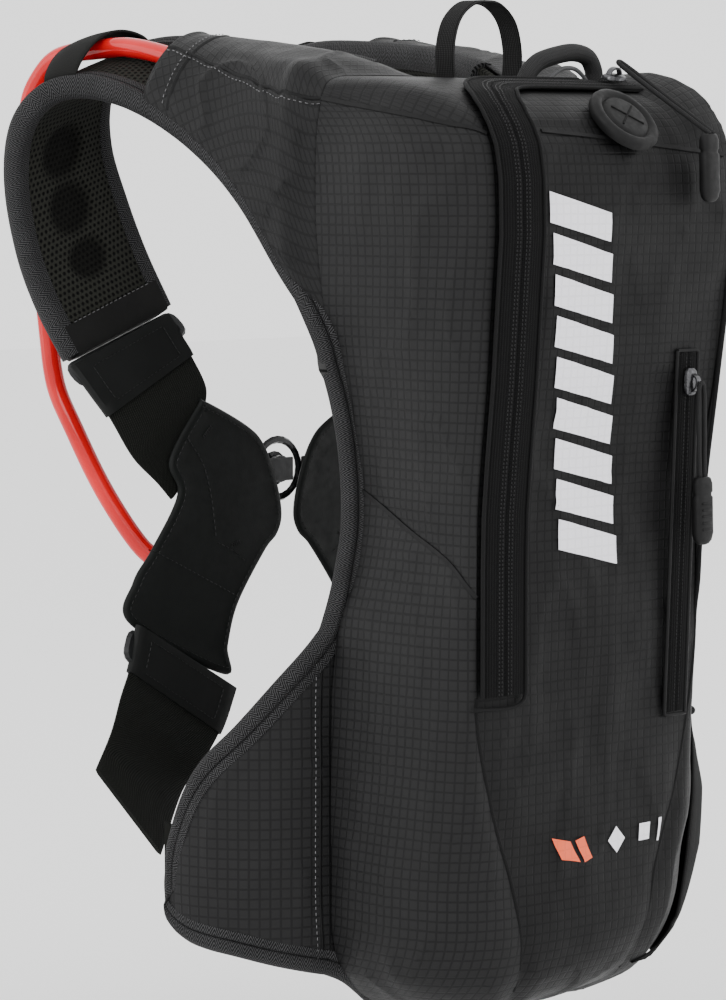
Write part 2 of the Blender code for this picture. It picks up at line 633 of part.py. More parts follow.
def make_clasp():
    """A ring on a tab of the right panel, and the button of the left panel that it slips over."""
    cx, cy, cz = RING_C
    rings = []
    for k in range(24):
        turn = math.tau * k / 24
        out = Vector((math.cos(turn), 0, math.sin(turn)))
        centre = Vector(RING_C) + out * RING_R
        rings.append([centre + out * RING_HALF * math.cos(math.tau * i / 6)
                      + Vector((0, RING_HALF * 0.85 * math.sin(math.tau * i / 6), 0)) for i in range(6)])
    loft("clasp_ring", rings, "black_plastic", closed=True)
    tab = frame_matrix((cx + RING_R + RING_HALF + 0.0077, cy, cz), (1, 0, 0), (0, 0, 1))
    rounded_box("clasp_tab", (0.0140, 0.0110, 0.0026), tab, "webbing", 0.0006)
    base = frame_matrix((cx - 0.0070, CHEST_Y + CHEST_T / 2 + 0.0013, cz), (1, 0, 0), (0, 0, 1))
    rounded_box("clasp_base", (0.0280, 0.0120, 0.0018), base, "black_plastic", 0.0005)
    face = CHEST_Y + CHEST_T / 2 + 0.0026
    post = Matrix.Translation((cx, face, cz)) @ Matrix.Rotation(math.radians(-90), 4, "X")
    turned("clasp_button", [(0.0070, 0.0), (0.0070, 0.0045), (0.0090, 0.0052), (0.0086, 0.0070), (0.0050, 0.0084)],
           post, "black_plastic", 16)


# ---------------------------------------------------------------- zips and handles
def front_profile():
    """The bag's front in side view, from low to high: (distance up the front from z = 0, y, z)."""
    rows = [(-d, z) for z, _, _, d, _ in reversed(BAG_SECTIONS) if z > -0.21]
    made = []
    u = 0.0
    for (y0, z0), (y1, z1) in zip(rows, rows[1:]):
        made.append((u, y0, z0))
        u += math.hypot(y1 - y0, z1 - z0)
    made.append((u, *rows[-1]))
    for (u0, y0, z0), (u1, y1, z1) in zip(made, made[1:]):
        if z0 <= 0 <= z1:
            zero = u0 - z0 * (u1 - u0) / (z1 - z0)
    return [(u - zero, y, z) for u, y, z in made]


def on_front(x, u, lift):
    """The point at x and distance u up the bag's front, lifted off it, and the way out there."""
    profile = front_profile()
    i = 0
    while i < len(profile) - 2 and profile[i + 1][0] < u:
        i += 1
    (u0, y0, z0), (u1, y1, z1) = profile[i], profile[i + 1]
    t = (u - u0) / (u1 - u0)
    out = Vector((0, z0 - z1, y1 - y0)).normalized()
    point = Vector((x, y0 + (y1 - y0) * t, z0 + (z1 - z0) * t))
    crown = CROWN * max(1 - (x / 0.085) ** 2, 0) * min(max((CROWN_END_U - u) / 0.015, 0), 1)
    return point + out * (lift + crown), out


def zip_path():
    """Middle line of the main zip over the front, (x, u) and half width, from its lower end."""
    made = [(MAIN_ZIP_X, MAIN_ZIP_LOW + 0.0145 * k, ZIP_W / 2) for k in range(19)]
    low = made[-1][1]
    for k in range(1, 6):
        turn = math.radians(90 * k / 5)
        half = ZIP_W / 2 + (ZIP_TOP_W - ZIP_W) / 2 * k / 5
        made.append((MAIN_ZIP_X + 0.040 * (1 - math.cos(turn)), low + (ZIP_TOP_U - low) * math.sin(turn), half))
    made += [(made[-1][0] + 0.0175 * k, ZIP_TOP_U, ZIP_TOP_W / 2) for k in range(1, 6)]
    return made


def make_main_zip():
    """The main zip's tape, lying on the front of the bag."""
    line = zip_path()
    rings = []
    for i, (x, u, half) in enumerate(line):
        x0, u0, _ = line[max(i - 1, 0)]
        x1, u1, _ = line[min(i + 1, len(line) - 1)]
        run = Vector((x1 - x0, u1 - u0)).normalized()
        low, high = [], []
        for k in range(5):
            way = half * (1 - k / 2)
            px, pu = x - run.y * way, u + run.x * way
            low.append(on_front(px, pu, ZIP_LIFT)[0])
            high.append(on_front(px, pu, ZIP_LIFT + ZIP_T)[0])
        rings.append(low + high[::-1])
    loft("main_zip_tape", rings, "zip_tape")


def slider(name, centre, run, out):
    """A zip slider: a waisted body with a bail for the pull cord."""
    matrix = frame_matrix(centre, run, out)
    profile = [(-0.0065, 0.0030), (-0.0030, 0.0042), (0.0020, 0.0044), (0.0065, 0.0024)]
    rings = []
    for x, half in profile:
        rings.append([matrix @ Vector((x, y, z)) for y, z in
                      ((0.0, -half), (0.0, half), (0.0030, half * 0.8), (0.0030, -half * 0.8))])
    body = loft(name, rings, "slider_metal")
    bail = [(-0.0045, 0.0022), (-0.0030, 0.0052), (0.0010, 0.0058), (0.0035, 0.0022)]
    arch = curve_points([matrix @ Vector((x, y, 0)) for x, y in bail], 3)
    side_ways = (matrix.to_3x3() @ Vector((0, 0, 1))).normalized()
    rings = []
    for i, point in enumerate(arch):
        along = arch[min(i + 1, len(arch) - 1)] - arch[max(i - 1, 0)]
        up = along.cross(side_ways).normalized()
        rings.append([point + side_ways * a * 0.0014 + up * b * 0.0005 for a, b in ((1, 1), (-1, 1), (-1, -1), (1, -1))])
    hoop = loft(name + "_bail", rings, "slider_metal")
    join = body.modifiers.new("bail", "BOOLEAN")
    join.operation = "UNION"
    join.object = hoop
    hoop.hide_render = True
    hoop.display_type = "WIRE"
    return matrix


def pull(label, top, down, out, length, tab_down):
    """A zip pull: a cord doubled through the bail and the moulded tab that hangs from it."""
    top, down, out = Vector(top), Vector(down).normalized(), Vector(out).normalized()
    across = down.cross(out)
    spread = 0.0019
    leg = length - 0.0006
    loop = [top + down * leg + across * spread, top + down * leg * 0.5 + across * spread,
            top + down * 0.004 + across * spread * 0.9, top + out * 0.0, top + down * 0.004 - across * spread * 0.9,
            top + down * leg * 0.5 - across * spread, top + down * leg - across * spread]
    tube(f"{label}_zip_cord", curve_points(loop, 3), CORD_R, "webbing")
    start = top + down * length
    tab_down = Vector(tab_down).normalized()
    start += tab_down * TAB_SPACE * (1 - down.dot(tab_down))
    down, out = tab_down, tab_down.cross(across)
    rings = []
    for along, half, depth in ((0.0, 0.0050, 0.0024), (0.002, 0.0060, 0.0032), (0.014, 0.0058, 0.0034),
                               (0.026, 0.0062, 0.0034), (0.031, 0.0050, 0.0026), (0.0325, 0.0030, 0.0016)):
        ring = []
        for k in range(10):
            turn = math.tau * k / 10
            ring.append(start + down * along + across * half * math.cos(turn) + out * depth * math.sin(turn))
        rings.append(ring)
    loft(f"{label}_zip_tab", rings, "rubber")


def make_pocket_zip():
    """The pocket zip's tape: stiff, so it runs straight over the front's shallow waist."""
    ends = [on_front(POCKET_ZIP_X, u, 0.0012) for u in (POCKET_ZIP_HIGH, POCKET_ZIP_LOW)]
    rings = []
    for (point, _) in ends:
        ring = []
        for way, lift in ((-1, 0.0), (1, 0.0), (1, ZIP_T), (-1, ZIP_T)):
            ring.append(point + Vector((way * POCKET_ZIP_W / 2, -lift, 0)))
        rings.append(ring)
    loft("pocket_zip_tape", rings, "zip_tape")
    return (ends[1][0] - ends[0][0]).normalized(), ends[0][0]


def make_sliders(pocket_run, pocket_top):
    """Both sliders at the closed ends of their zips, with their pulls hanging."""
    centre, out = on_front(MAIN_SLIDER_X, ZIP_TOP_U, ZIP_LIFT + ZIP_T + GAP)
    slider("main_zip_slider", centre, (1, 0, 0), out)
    pull("main", centre + out * 0.0088 + Vector((MAIN_BAIL, 0, 0)), MAIN_PULL_RUN, MAIN_PULL_OUT, MAIN_CORD, TAB_TILT)
    centre = pocket_top + pocket_run * POCKET_SLIDER_AT + Vector((0, -ZIP_T - GAP, 0))
    slider("pocket_zip_slider", centre, -pocket_run, (0, -1, 0))
    pull("pocket", centre + Vector((0, -0.0080, -0.0010)), (0, -0.02, -1), (0, -1, 0), 0.045, (0, -0.02, -1))


def arch_band(name, points, width, thickness, wide_axis, slot):
    """A webbing loop: a flat band bent along an arch, its width along wide_axis."""
    wide = Vector(wide_axis).normalized() * (width / 2)
    line = curve_points(points, 3)
    rings = []
    for i, p in enumerate(line):
        along = line[min(i + 1, len(line) - 1)] - line[max(i - 1, 0)]
        up = along.cross(wide).normalized() * (thickness / 2)
        rings.append([p + wide + up, p - wide + up, p - wide - up, p + wide - up])
    return loft(name, rings, slot)


def make_handles():
    arch_band("haul_loop", [(-0.0220, -0.0185, 0.2070), (-0.0225, -0.0185, 0.2200), (-0.0150, -0.0185, 0.2345),
                            (0.0010, -0.0185, 0.2405), (0.0170, -0.0185, 0.2345), (0.0245, -0.0185, 0.2200),
                            (0.0240, -0.0185, 0.2070)],
              0.012, 0.0018, (0, 1, 0), "webbing")
    rings = []
    line = curve_points([(0.0100, HANDLE_Y, 0.2064), (0.0140, HANDLE_Y, 0.2105), (0.0260, HANDLE_Y, 0.2145),
                         (0.0420, HANDLE_Y, 0.2165), (0.0535, HANDLE_Y, 0.2135), (0.0575, HANDLE_Y, 0.2064)], 3)
    for i, p in enumerate(line):
        along = (line[min(i + 1, len(line) - 1)] - line[max(i - 1, 0)]).normalized()
        out = Vector((0, 1, 0))
        up = along.cross(out).normalized()
        rings.append([p + (out * math.cos(math.tau * k / 8) + up * math.sin(math.tau * k / 8)) * HANDLE_R
                      for k in range(8)])
    loft("grab_handle", rings, "binding")


def make_port():
    """The oval rubber port on the bag's sloping top."""
    centre, out = on_front(PORT_X, PORT_U, PORT_LIFT)
    matrix = frame_matrix(centre, (1, 0, 0), out.cross(Vector((1, 0, 0))))
    if (matrix.to_3x3() @ Vector((0, 0, 1))).dot(out) < 0:
        matrix = matrix @ Matrix.Rotation(math.pi, 4, "X")
    turned("tube_port", [(0.0150, 0.0), (0.0180, 0.0), (0.0180, 0.0012), (0.0160, 0.0024), (0.0130, 0.0024),
                         (0.0120, 0.0016)], matrix, "rubber", 20)


def make_side_pocket():
    """The stretch pouch on the right gusset, open at its top."""
    rings = []
    for z, reach in ((-0.229, 0.004), (-0.212, 0.016), (-0.180, 0.025), (-0.150, 0.025), (-0.125, 0.018),
                     (-0.108, 0.009)):
        outer, inner = [], []
        for k in range(7):
            t = k / 6
            y = -0.082 + 0.062 * t
            wall = pocket_wall(y, z)
            bow = reach * math.sin(math.pi * (0.08 + 0.84 * t))
            outer.append(Vector((wall + GAP + bow + 0.0015, y, z)))
            inner.append(Vector((wall + GAP + bow, y, z)))
        rings.append(outer + inner[::-1])
    loft("side_pocket", rings, "elastic")


def pocket_wall(y, z):
    """X of the right gusset's outside at a depth and height."""
    for upper, lower in zip(BAG_SECTIONS, BAG_SECTIONS[1:]):
        if lower[0] <= z <= upper[0]:
            t = (upper[0] - z) / (upper[0] - lower[0])
            mixed = [a * (1 - t) + b * t for a, b in zip(upper, lower)]
            row = bag_section(*mixed)[-5:]
            best = max((p.x for p in row if abs(p.y - y) < 0.03), default=mixed[1])
            for a, b in zip(row, row[1:]):
                if min(a.y, b.y) <= y <= max(a.y, b.y):
                    s = (y - a.y) / (b.y - a.y) if b.y != a.y else 0
                    return a.x + (b.x - a.x) * s + 0.0015
            return best + 0.0015
    return 0.08


def main():
    clear_scene()
    make_back_panel()
    make_bag_shell()
    make_inside()
    for side, label in ((-1, "left"), (1, "right")):
        make_strap(side, label)
        make_wings(side, label)
        make_chest(side, label)
        make_elastics(side, label, split=side > 0)
    make_tube()
    make_valve()
    make_clasp()
    make_main_zip()
    make_sliders(*make_pocket_zip())
    make_handles()
    make_port()
    make_side_pocket()


main()
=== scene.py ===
import math

import bmesh
import bpy
import numpy as np
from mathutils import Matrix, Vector, geometry, noise
from mathutils.bvhtree import BVHTree
from mathutils.kdtree import KDTree


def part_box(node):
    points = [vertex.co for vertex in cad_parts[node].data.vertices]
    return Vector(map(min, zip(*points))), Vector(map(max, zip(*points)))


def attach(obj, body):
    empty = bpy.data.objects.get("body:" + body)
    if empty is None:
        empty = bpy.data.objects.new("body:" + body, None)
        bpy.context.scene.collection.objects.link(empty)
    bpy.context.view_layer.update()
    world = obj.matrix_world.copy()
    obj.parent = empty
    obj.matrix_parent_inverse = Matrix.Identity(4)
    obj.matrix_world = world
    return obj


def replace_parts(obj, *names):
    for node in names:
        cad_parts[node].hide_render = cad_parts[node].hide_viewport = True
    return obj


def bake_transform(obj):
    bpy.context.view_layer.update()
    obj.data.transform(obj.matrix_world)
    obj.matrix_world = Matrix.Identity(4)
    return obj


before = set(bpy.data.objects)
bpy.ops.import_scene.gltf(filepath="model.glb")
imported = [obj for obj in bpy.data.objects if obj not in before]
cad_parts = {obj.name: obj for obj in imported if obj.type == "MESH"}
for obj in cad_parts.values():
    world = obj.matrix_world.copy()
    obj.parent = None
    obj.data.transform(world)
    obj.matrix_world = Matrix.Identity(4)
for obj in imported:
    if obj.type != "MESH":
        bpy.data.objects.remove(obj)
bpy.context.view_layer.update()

# ---------------------------------------------------------------- shape, in metres, as in the CAD
BAG_SECTIONS = [
    (0.2040, 0.060, 0.054, 0.0095, 0.000),
    (0.2033, 0.070, 0.065, 0.032, 0.000),
    (0.2012, 0.079, 0.074, 0.051, 0.000),
    (0.1975, 0.085, 0.080, 0.067, 0.002),
    (0.1925, 0.088, 0.084, 0.079, 0.003),
    (0.1865, 0.090, 0.087, 0.0885, 0.004),
    (0.1790, 0.092, 0.089, 0.0955, 0.005),
    (0.1705, 0.093, 0.091, 0.1000, 0.006),
    (0.1550, 0.094, 0.092, 0.1025, 0.006),
    (0.1300, 0.094, 0.092, 0.103, 0.006),
    (0.0950, 0.0900, 0.0905, 0.1005, 0.005),
    (0.0600, 0.0830, 0.0870, 0.0980, 0.004),
    (0.0250, 0.0755, 0.0845, 0.0945, 0.003),
    (0.0000, 0.0725, 0.0830, 0.0925, 0.003),
    (-0.0250, 0.0755, 0.0810, 0.0920, 0.003),
    (-0.0500, 0.0815, 0.0805, 0.0920, 0.005),
    (-0.0900, 0.0820, 0.0780, 0.0920, 0.010),
    (-0.1400, 0.082, 0.066, 0.092, 0.022),
    (-0.1750, 0.081, 0.052, 0.092, 0.028),
    (-0.2070, 0.078, 0.045, 0.092, 0.026),
    (-0.2315, 0.070, 0.038, 0.080, 0.018),
    (-0.2460, 0.058, 0.030, 0.055, 0.010),
    (-0.2525, 0.046, 0.024, 0.028, 0.004),
    (-0.2545, 0.040, 0.020, 0.0095, 0.000),
]
RIM_Y = -0.0085
SIDE_COLS, FRONT_COLS = 30, 40
ZIP_SEAM_X, ZIP_EDGE_X, ZIP_X = 0.0769, -0.0480, -0.0625
# How far the left gusset's back edge stands out beyond the section's, by height.
LEFT_FULL = [
    (-0.2450, 0.0), (-0.2250, 0.0110), (-0.2070, 0.0110), (-0.1750, 0.0085), (-0.0900, 0.0075), (-0.0600, 0.0040),
    (-0.0420, 0.0), (0.050, 0.0), (0.095, 0.0045), (0.155, 0.0060), (0.1790, 0.0070), (0.1925, 0.0080),
    (0.1975, 0.0090), (0.2012, 0.0120), (0.2033, 0.0150), (0.2040, 0.0180),
]
YOKE_SPLIT = [0.64, 0.58, 0.46]
# Stitches: length, gap, width and height.
STITCH = (0.0017, 0.0013, 0.0005, 0.00035)
BORDER_STITCH = (0.0022, 0.0011, 0.00065, 0.00040)
STRAP_EDGES = [
    ((-0.0950, -0.0030, 0.0865), (-0.0325, -0.0030, 0.2035)),
    ((-0.1000, 0.016, 0.112), (-0.0370, 0.018, 0.2110)),
    ((-0.1010, 0.043, 0.145), (-0.0460, 0.047, 0.2160)),
    ((-0.1020, 0.072, 0.169), (-0.0500, 0.080, 0.2195)),
    ((-0.1050, 0.108, 0.189), (-0.0520, 0.115, 0.2210)),
    ((-0.1120, 0.140, 0.199), (-0.0520, 0.150, 0.2205)),
    ((-0.1220, 0.160, 0.196), (-0.0540, 0.178, 0.2135)),
    ((-0.1300, 0.172, 0.180), (-0.0580, 0.189, 0.1970)),
    ((-0.1310, 0.177, 0.152), (-0.0620, 0.184, 0.1710)),
    ((-0.1300, 0.170, 0.118), (-0.0620, 0.172, 0.1440)),
    ((-0.1275, 0.158, 0.091), (-0.0590, 0.160, 0.1160)),
    ((-0.1200, 0.147, 0.066), (-0.0535, 0.148, 0.0895)),
]
STRAP_T = 0.009
WING_EDGES = [
    (0.0815, -0.046, -0.226),
    (0.0920, -0.062, -0.224),
    (0.1130, -0.084, -0.219),
    (0.1330, -0.106, -0.214),
    (0.1490, -0.122, -0.211),
    (0.1600, -0.138, -0.208),
    (0.1700, -0.162, -0.202),
    (0.1730, -0.174, -0.194),
]
WING_T = 0.005
WING_BEND_R = 0.055
BACK_OUTLINE = [
    (0.0000, 0.2035), (0.0275, 0.2035), (0.0915, 0.0825), (0.0800, 0.0520), (0.0690, 0.0240),
    (0.0640, 0.0020), (0.0660, -0.0140), (0.0710, -0.0300), (0.0790, -0.0460), (0.0800, -0.1000),
    (0.0800, -0.1900), (0.0740, -0.2235), (0.0560, -0.2425), (0.0300, -0.2512), (0.0000, -0.2532),
]
CHEST_OUTLINE = [
    (-0.0620, 0.0418), (-0.0585, 0.0440), (-0.0285, 0.0299), (-0.0167, 0.0193), (-0.0085, 0.0018),
    (-0.0045, -0.0162), (-0.0080, -0.0268), (-0.0167, -0.0349), (-0.0355, -0.0604), (-0.0425, -0.0812),
    (-0.0450, -0.0960), (-0.1086, -0.0650), (-0.1059, -0.0442), (-0.0933, -0.0285), (-0.0759, -0.0023),
    (-0.0815, 0.0152),
]
CHEST_Y = 0.115
UPPER_ELASTIC = [
    ((-0.1246, 0.1388, 0.0633), (-0.0612, 0.1398, 0.0867)),
    ((-0.1153, 0.1340, 0.0487), (-0.0559, 0.1350, 0.0746)),
    ((-0.1076, 0.1300, 0.0367), (-0.0515, 0.1310, 0.0647)),
    ((-0.0992, 0.1225, 0.0171), (-0.0490, 0.1235, 0.0500)),
    ((-0.0860, 0.1195, 0.0040), (-0.0530, 0.1195, 0.0380)),
    ((-0.0770, 0.1190, -0.0050), (-0.0480, 0.1190, 0.0240)),
]
LOWER_ELASTIC = [
    ((-0.1064, 0.1110, -0.0655), (-0.0416, 0.1110, -0.1027)),
    ((-0.1120, 0.1105, -0.0850), (-0.0520, 0.1095, -0.1215)),
    ((-0.1190, 0.1100, -0.1000), (-0.0665, 0.1070, -0.1365)),
    ((-0.1262, 0.1090, -0.1165), (-0.0850, 0.1030, -0.1500)),
    ((-0.1400, 0.1050, -0.1330), (-0.1300, 0.0690, -0.1720)),
]
TUBE_R = 0.005
TUBE_ROUTE = [
    (-0.0900, 0.1850, 0.2165), (-0.0930, 0.1985, 0.2060), (-0.0945, 0.2060, 0.1900),
    (-0.0940, 0.2070, 0.1600), (-0.0930, 0.2060, 0.1250), (-0.0920, 0.1980, 0.0950),
    (-0.0910, 0.1965, 0.0800), (-0.0895, 0.1925, 0.0505), (-0.0870, 0.1810, 0.0275),
    (-0.0805, 0.1650, -0.0040), (-0.0715, 0.1465, -0.0320), (-0.0610, 0.1325, -0.0440),
    (-0.0590, 0.1305, -0.0520), (-0.0590, 0.1305, -0.0620),
]
INNER_TUBE_ROUTE = [
    (0.0040, -0.0295, -0.1775), (0.0030, -0.0295, -0.1900), (-0.0100, -0.0295, -0.2040), (-0.0360, -0.0295, -0.2070),
    (-0.0580, -0.0295, -0.1920), (-0.0665, -0.0290, -0.1600), (-0.0665, -0.0280, -0.1000), (-0.0620, -0.0280, -0.0200),
    (-0.0630, -0.0280, 0.0300), (-0.0700, -0.0270, 0.0850), (-0.0720, -0.0230, 0.1250),
]


# The look of the CAD pieces that are shown as they are.
CAD_FINISH = {
    "reservoir": "film", "reservoir_closure": "plastic", "reservoir_outlet": "plastic",
    "divider_panel": "gusset", "strap_loop_left": "plastic", "strap_loop_right": "plastic",
    "tail_loop_left": "plastic", "tail_loop_right": "plastic", "clasp_ring": "gloss", "clasp_button": "gloss",
    "clasp_base": "plastic", "clasp_tab": "webbing", "tube_clip": "plastic", "wing_band_left": "elastic",
    "wing_band_right": "elastic",
}
CAMERA_DISTANCE, CAMERA_TURN, CAMERA_LIFT, SHOWN_WIDTH = 1.9, 45, 5, 0.485
FLOOR_Z, FLOOR_HALF = -0.30, 6


# ---------------------------------------------------------------- camera, light, floor
def link(obj):
    bpy.context.scene.collection.objects.link(obj)
    return obj


def make_camera():
    """The photograph's view: from the wearer's left, behind, a little above."""
    data = bpy.data.cameras.new("view")
    data.sensor_width = 36.0
    data.lens = data.sensor_width * CAMERA_DISTANCE / SHOWN_WIDTH
    obj = link(bpy.data.objects.new("view", data))
    turn, lift = math.radians(CAMERA_TURN), math.radians(CAMERA_LIFT)
    back = Vector((-math.sin(turn) * math.cos(lift), -math.cos(turn) * math.cos(lift), math.sin(lift)))
    target = Vector((-0.0525, 0.0075, 0.0))
    obj.location = target + back * CAMERA_DISTANCE
    obj.rotation_euler = back.to_track_quat("Z", "Y").to_euler()
    bpy.context.scene.camera = obj


def area_light(name, where, size, power, target=(0, 0, 0)):
    data = bpy.data.lights.new(name, "AREA")
    data.shape = "RECTANGLE"
    data.size, data.size_y = size
    data.energy = power
    obj = link(bpy.data.objects.new(name, data))
    obj.location = where
    obj.rotation_euler = (Vector(where) - Vector(target)).to_track_quat("Z", "Y").to_euler()


def make_studio():
    world = bpy.data.worlds.new("studio")
    bpy.context.scene.world = world
    world.use_nodes = True
    world.node_tree.nodes["Background"].inputs["Color"].default_value = (1, 1, 1, 1)
    world.node_tree.nodes["Background"].inputs["Strength"].default_value = 1.75
    area_light("key", (-1.9, -0.9, 1.5), (1.2, 1.2), 20, (0, 0, 0))
    area_light("side", (-1.6, 1.3, 0.6), (1.0, 1.6), 9, (0, 0.05, 0))
    area_light("right", (1.4, -1.6, 0.5), (0.5, 1.6), 6, (0, 0, 0))
    mesh = bpy.data.meshes.new("floor")
    corners = [(x * FLOOR_HALF, y * FLOOR_HALF, FLOOR_Z) for x, y in ((-1, -1), (1, -1), (1, 1), (-1, 1))]
    mesh.from_pydata(corners, [], [(0, 1, 2, 3)])
    floor = link(bpy.data.objects.new("floor", mesh))
    made = bpy.data.materials.new("floor")
    made.use_nodes = True
    shader = made.node_tree.nodes["Principled BSDF"]
    shader.inputs["Base Color"].default_value = (0.93, 0.93, 0.93, 1)
    shader.inputs["Roughness"].default_value = 0.7
    floor.data.materials.append(made)


# ---------------------------------------------------------------- materials
class Nodes:
    """Short-hand for building a node tree."""

    def __init__(self, name, colour=(0.02, 0.02, 0.02), rough=0.6, **more):
        self.mat = bpy.data.materials.new(name)
        self.mat.use_nodes = True
        self.tree = self.mat.node_tree
        self.shader = self.tree.nodes["Principled BSDF"]
        self.shader.inputs["Base Color"].default_value = (*colour, 1)
        self.shader.inputs["Roughness"].default_value = rough
        for key, value in more.items():
            self.shader.inputs[key.replace("_", " ")].default_value = value

    def add(self, kind, **values):
        node = self.tree.nodes.new(kind)
        for key, value in values.items():
            setattr(node, key, value)
        return node

    def put(self, value, socket):
        if isinstance(value, (int, float)):
            socket.default_value = value
        elif isinstance(value, tuple):
            socket.default_value = value if len(value) == len(socket.default_value) else (*value, 1)
        else:
            self.tree.links.new(value, socket)

    def math(self, op, a, b=0.0, clamp=False):
        node = self.add("ShaderNodeMath", operation=op, use_clamp=clamp)
        self.put(a, node.inputs[0])
        self.put(b, node.inputs[1])
        return node.outputs[0]

    def times(self, a, b):
        return self.math("MULTIPLY", a, b)

    def plus(self, a, b):
        return self.math("ADD", a, b)

    def minus(self, a, b):
        return self.math("SUBTRACT", a, b)

    def uv(self, scale=1.0):
        """The two surface coordinates, in metres times scale."""
        node = self.add("ShaderNodeUVMap", uv_map="cloth")
        split = self.add("ShaderNodeSeparateXYZ")
        self.tree.links.new(node.outputs[0], split.inputs[0])
        return self.times(split.outputs[0], scale), self.times(split.outputs[1], scale)

    def noise(self, size, detail=3.0, rough=0.55):
        """Noise in object space, with features of about size metres."""
        where = self.add("ShaderNodeTexCoord")
        node = self.add("ShaderNodeTexNoise")
        node.inputs["Scale"].default_value = 1.0 / size
        node.inputs["Detail"].default_value = detail
        node.inputs["Roughness"].default_value = rough
        self.tree.links.new(where.outputs["Object"], node.inputs["Vector"])
        return node.outputs[0]

    def ramp(self, value, low, high, to_low=0.0, to_high=1.0):
        node = self.add("ShaderNodeMapRange")
        self.put(value, node.inputs[0])
        for socket, number in zip(node.inputs[1:5], (low, high, to_low, to_high)):
            socket.default_value = number
        return node.outputs[0]

    def mix(self, factor, a, b):
        node = self.add("ShaderNodeMix", data_type="RGBA")
        self.put(factor, node.inputs[0])
        self.put(a, node.inputs[6])
        self.put(b, node.inputs[7])
        return node.outputs[2]

    def stripe(self, value):
        """A wave from 0 to 1 and back for each unit of value."""
        return self.plus(self.times(self.math("SINE", self.times(value, math.tau)), 0.5), 0.5)

    def edge(self, value, width):
        """1 on a line at each whole unit of value, of that half width in units."""
        saw = self.math("ABSOLUTE", self.minus(self.math("FRACT", value), 0.5))
        return self.ramp(saw, 0.5 - width * 1.4, 0.5 - width * 0.6)

    def colour(self, value):
        self.put(value, self.shader.inputs["Base Color"])

    def rough(self, value):
        self.put(value, self.shader.inputs["Roughness"])

    def bump(self, height, distance, strength=1.0):
        node = self.add("ShaderNodeBump")
        node.inputs["Distance"].default_value = distance
        node.inputs["Strength"].default_value = strength
        self.put(height, node.inputs["Height"])
        self.tree.links.new(node.outputs[0], self.shader.inputs["Normal"])
        return node.outputs[0]


def shade(colour, share):
    return tuple(c * share for c in colour)


def ripstop(name, base, line, square=0.0048, turned=False):
    """Thin coated cloth with a grid of doubled threads."""
    m = Nodes(name, base, 0.5, Specular_IOR_Level=0.12)
    u, v = m.uv(1 / square)
    if turned:
        u, v = m.times(m.plus(u, v), 0.7071), m.times(m.minus(u, v), 0.7071)
    grid = m.math("MAXIMUM", m.edge(u, 0.10), m.edge(v, 0.10))
    cell = m.add("ShaderNodeTexWhiteNoise", noise_dimensions="2D")
    join = m.add("ShaderNodeCombineXYZ")
    m.tree.links.new(m.math("FLOOR", u), join.inputs[0])
    m.tree.links.new(m.math("FLOOR", v), join.inputs[1])
    m.tree.links.new(join.outputs[0], cell.inputs["Vector"])
    fine_u, fine_v = m.uv(1 / 0.00055)
    weave = m.times(m.stripe(fine_u), m.stripe(fine_v))
    # random lighter, rougher blotches over the cloth
    blotches = m.ramp(m.noise(0.030, 4.0), 0.35, 0.7)
    patchy = m.plus(m.times(cell.outputs[0], 0.16), m.times(blotches, 0.30))
    cloth = m.mix(patchy, shade(base, 0.84), shade(base, 1.24))
    cloth = m.mix(m.times(weave, 0.18), cloth, shade(base, 1.6))
    m.colour(m.mix(m.times(grid, 0.75), cloth, line))
    m.rough(m.ramp(blotches, 0.0, 1.0, 0.44, 0.60))
    pucker = m.noise(0.006, 2.0)
    height = m.plus(m.times(grid, 0.5), m.times(weave, 0.15))
    m.bump(m.plus(height, m.times(pucker, 0.9)), 0.00032, 0.75)
    return m.mat


def twill(name, base, light, pitch=0.00125, herring=0.0046):
    """Herringbone tape: slanted ribs whose slant turns over from band to band."""
    m = Nodes(name, base, 0.72, Specular_IOR_Level=0.15)
    u, v = m.uv()
    zig = m.math("ABSOLUTE", m.minus(m.math("FRACT", m.times(v, 1 / herring)), 0.5))
    slant = m.plus(m.times(u, 1 / pitch), m.times(zig, herring * 2 / pitch))
    rib = m.stripe(slant)
    cross = m.stripe(m.times(v, 1 / 0.0008))
    thread = m.times(m.ramp(rib, 0.35, 0.75), m.ramp(cross, 0.0, 0.7, 0.55, 1.0))
    fade = m.ramp(m.noise(0.012), 0.3, 0.7, 0.72, 1.0)
    m.colour(m.mix(m.times(thread, fade), base, light))
    m.bump(thread, 0.00030, 0.9)
    return m.mat


def air_mesh(name, base, light, cell=0.0030):
    """Spacer mesh: rows of small dark holes between lighter threads. Painted shade: darker where the 'deep' attribute
    marks pits and grooves.
    """
    m = Nodes(name, base, 0.85, Specular_IOR_Level=0.1)
    u, v = m.uv(1 / cell)
    row = m.math("FLOOR", v)
    shift = m.times(m.math("MODULO", row, 2.0), 0.5)
    x = m.minus(m.math("FRACT", m.plus(u, shift)), 0.5)
    y = m.minus(m.math("FRACT", v), 0.5)
    far = m.math("SQRT", m.plus(m.times(x, x), m.times(y, y)))
    hole = m.ramp(far, 0.22, 0.38, 1.0, 0.0)
    thread_u, thread_v = m.uv(1 / 0.0006)
    thread = m.times(m.stripe(thread_u), m.stripe(thread_v))
    lit = m.mix(m.times(thread, 0.6), shade(light, 0.7), light)
    face = m.mix(hole, lit, shade(base, 0.35))
    # painted shade: the 'deep' attribute darkens the mesh in the strap's pits and the back panel's grooves
    deep = m.add("ShaderNodeAttribute", attribute_name="deep")
    m.colour(m.mix(m.times(deep.outputs["Fac"], 0.75), face, shade(base, 0.25)))
    m.bump(m.minus(m.times(thread, 0.3), hole), 0.0006, 0.9)
    return m.mat


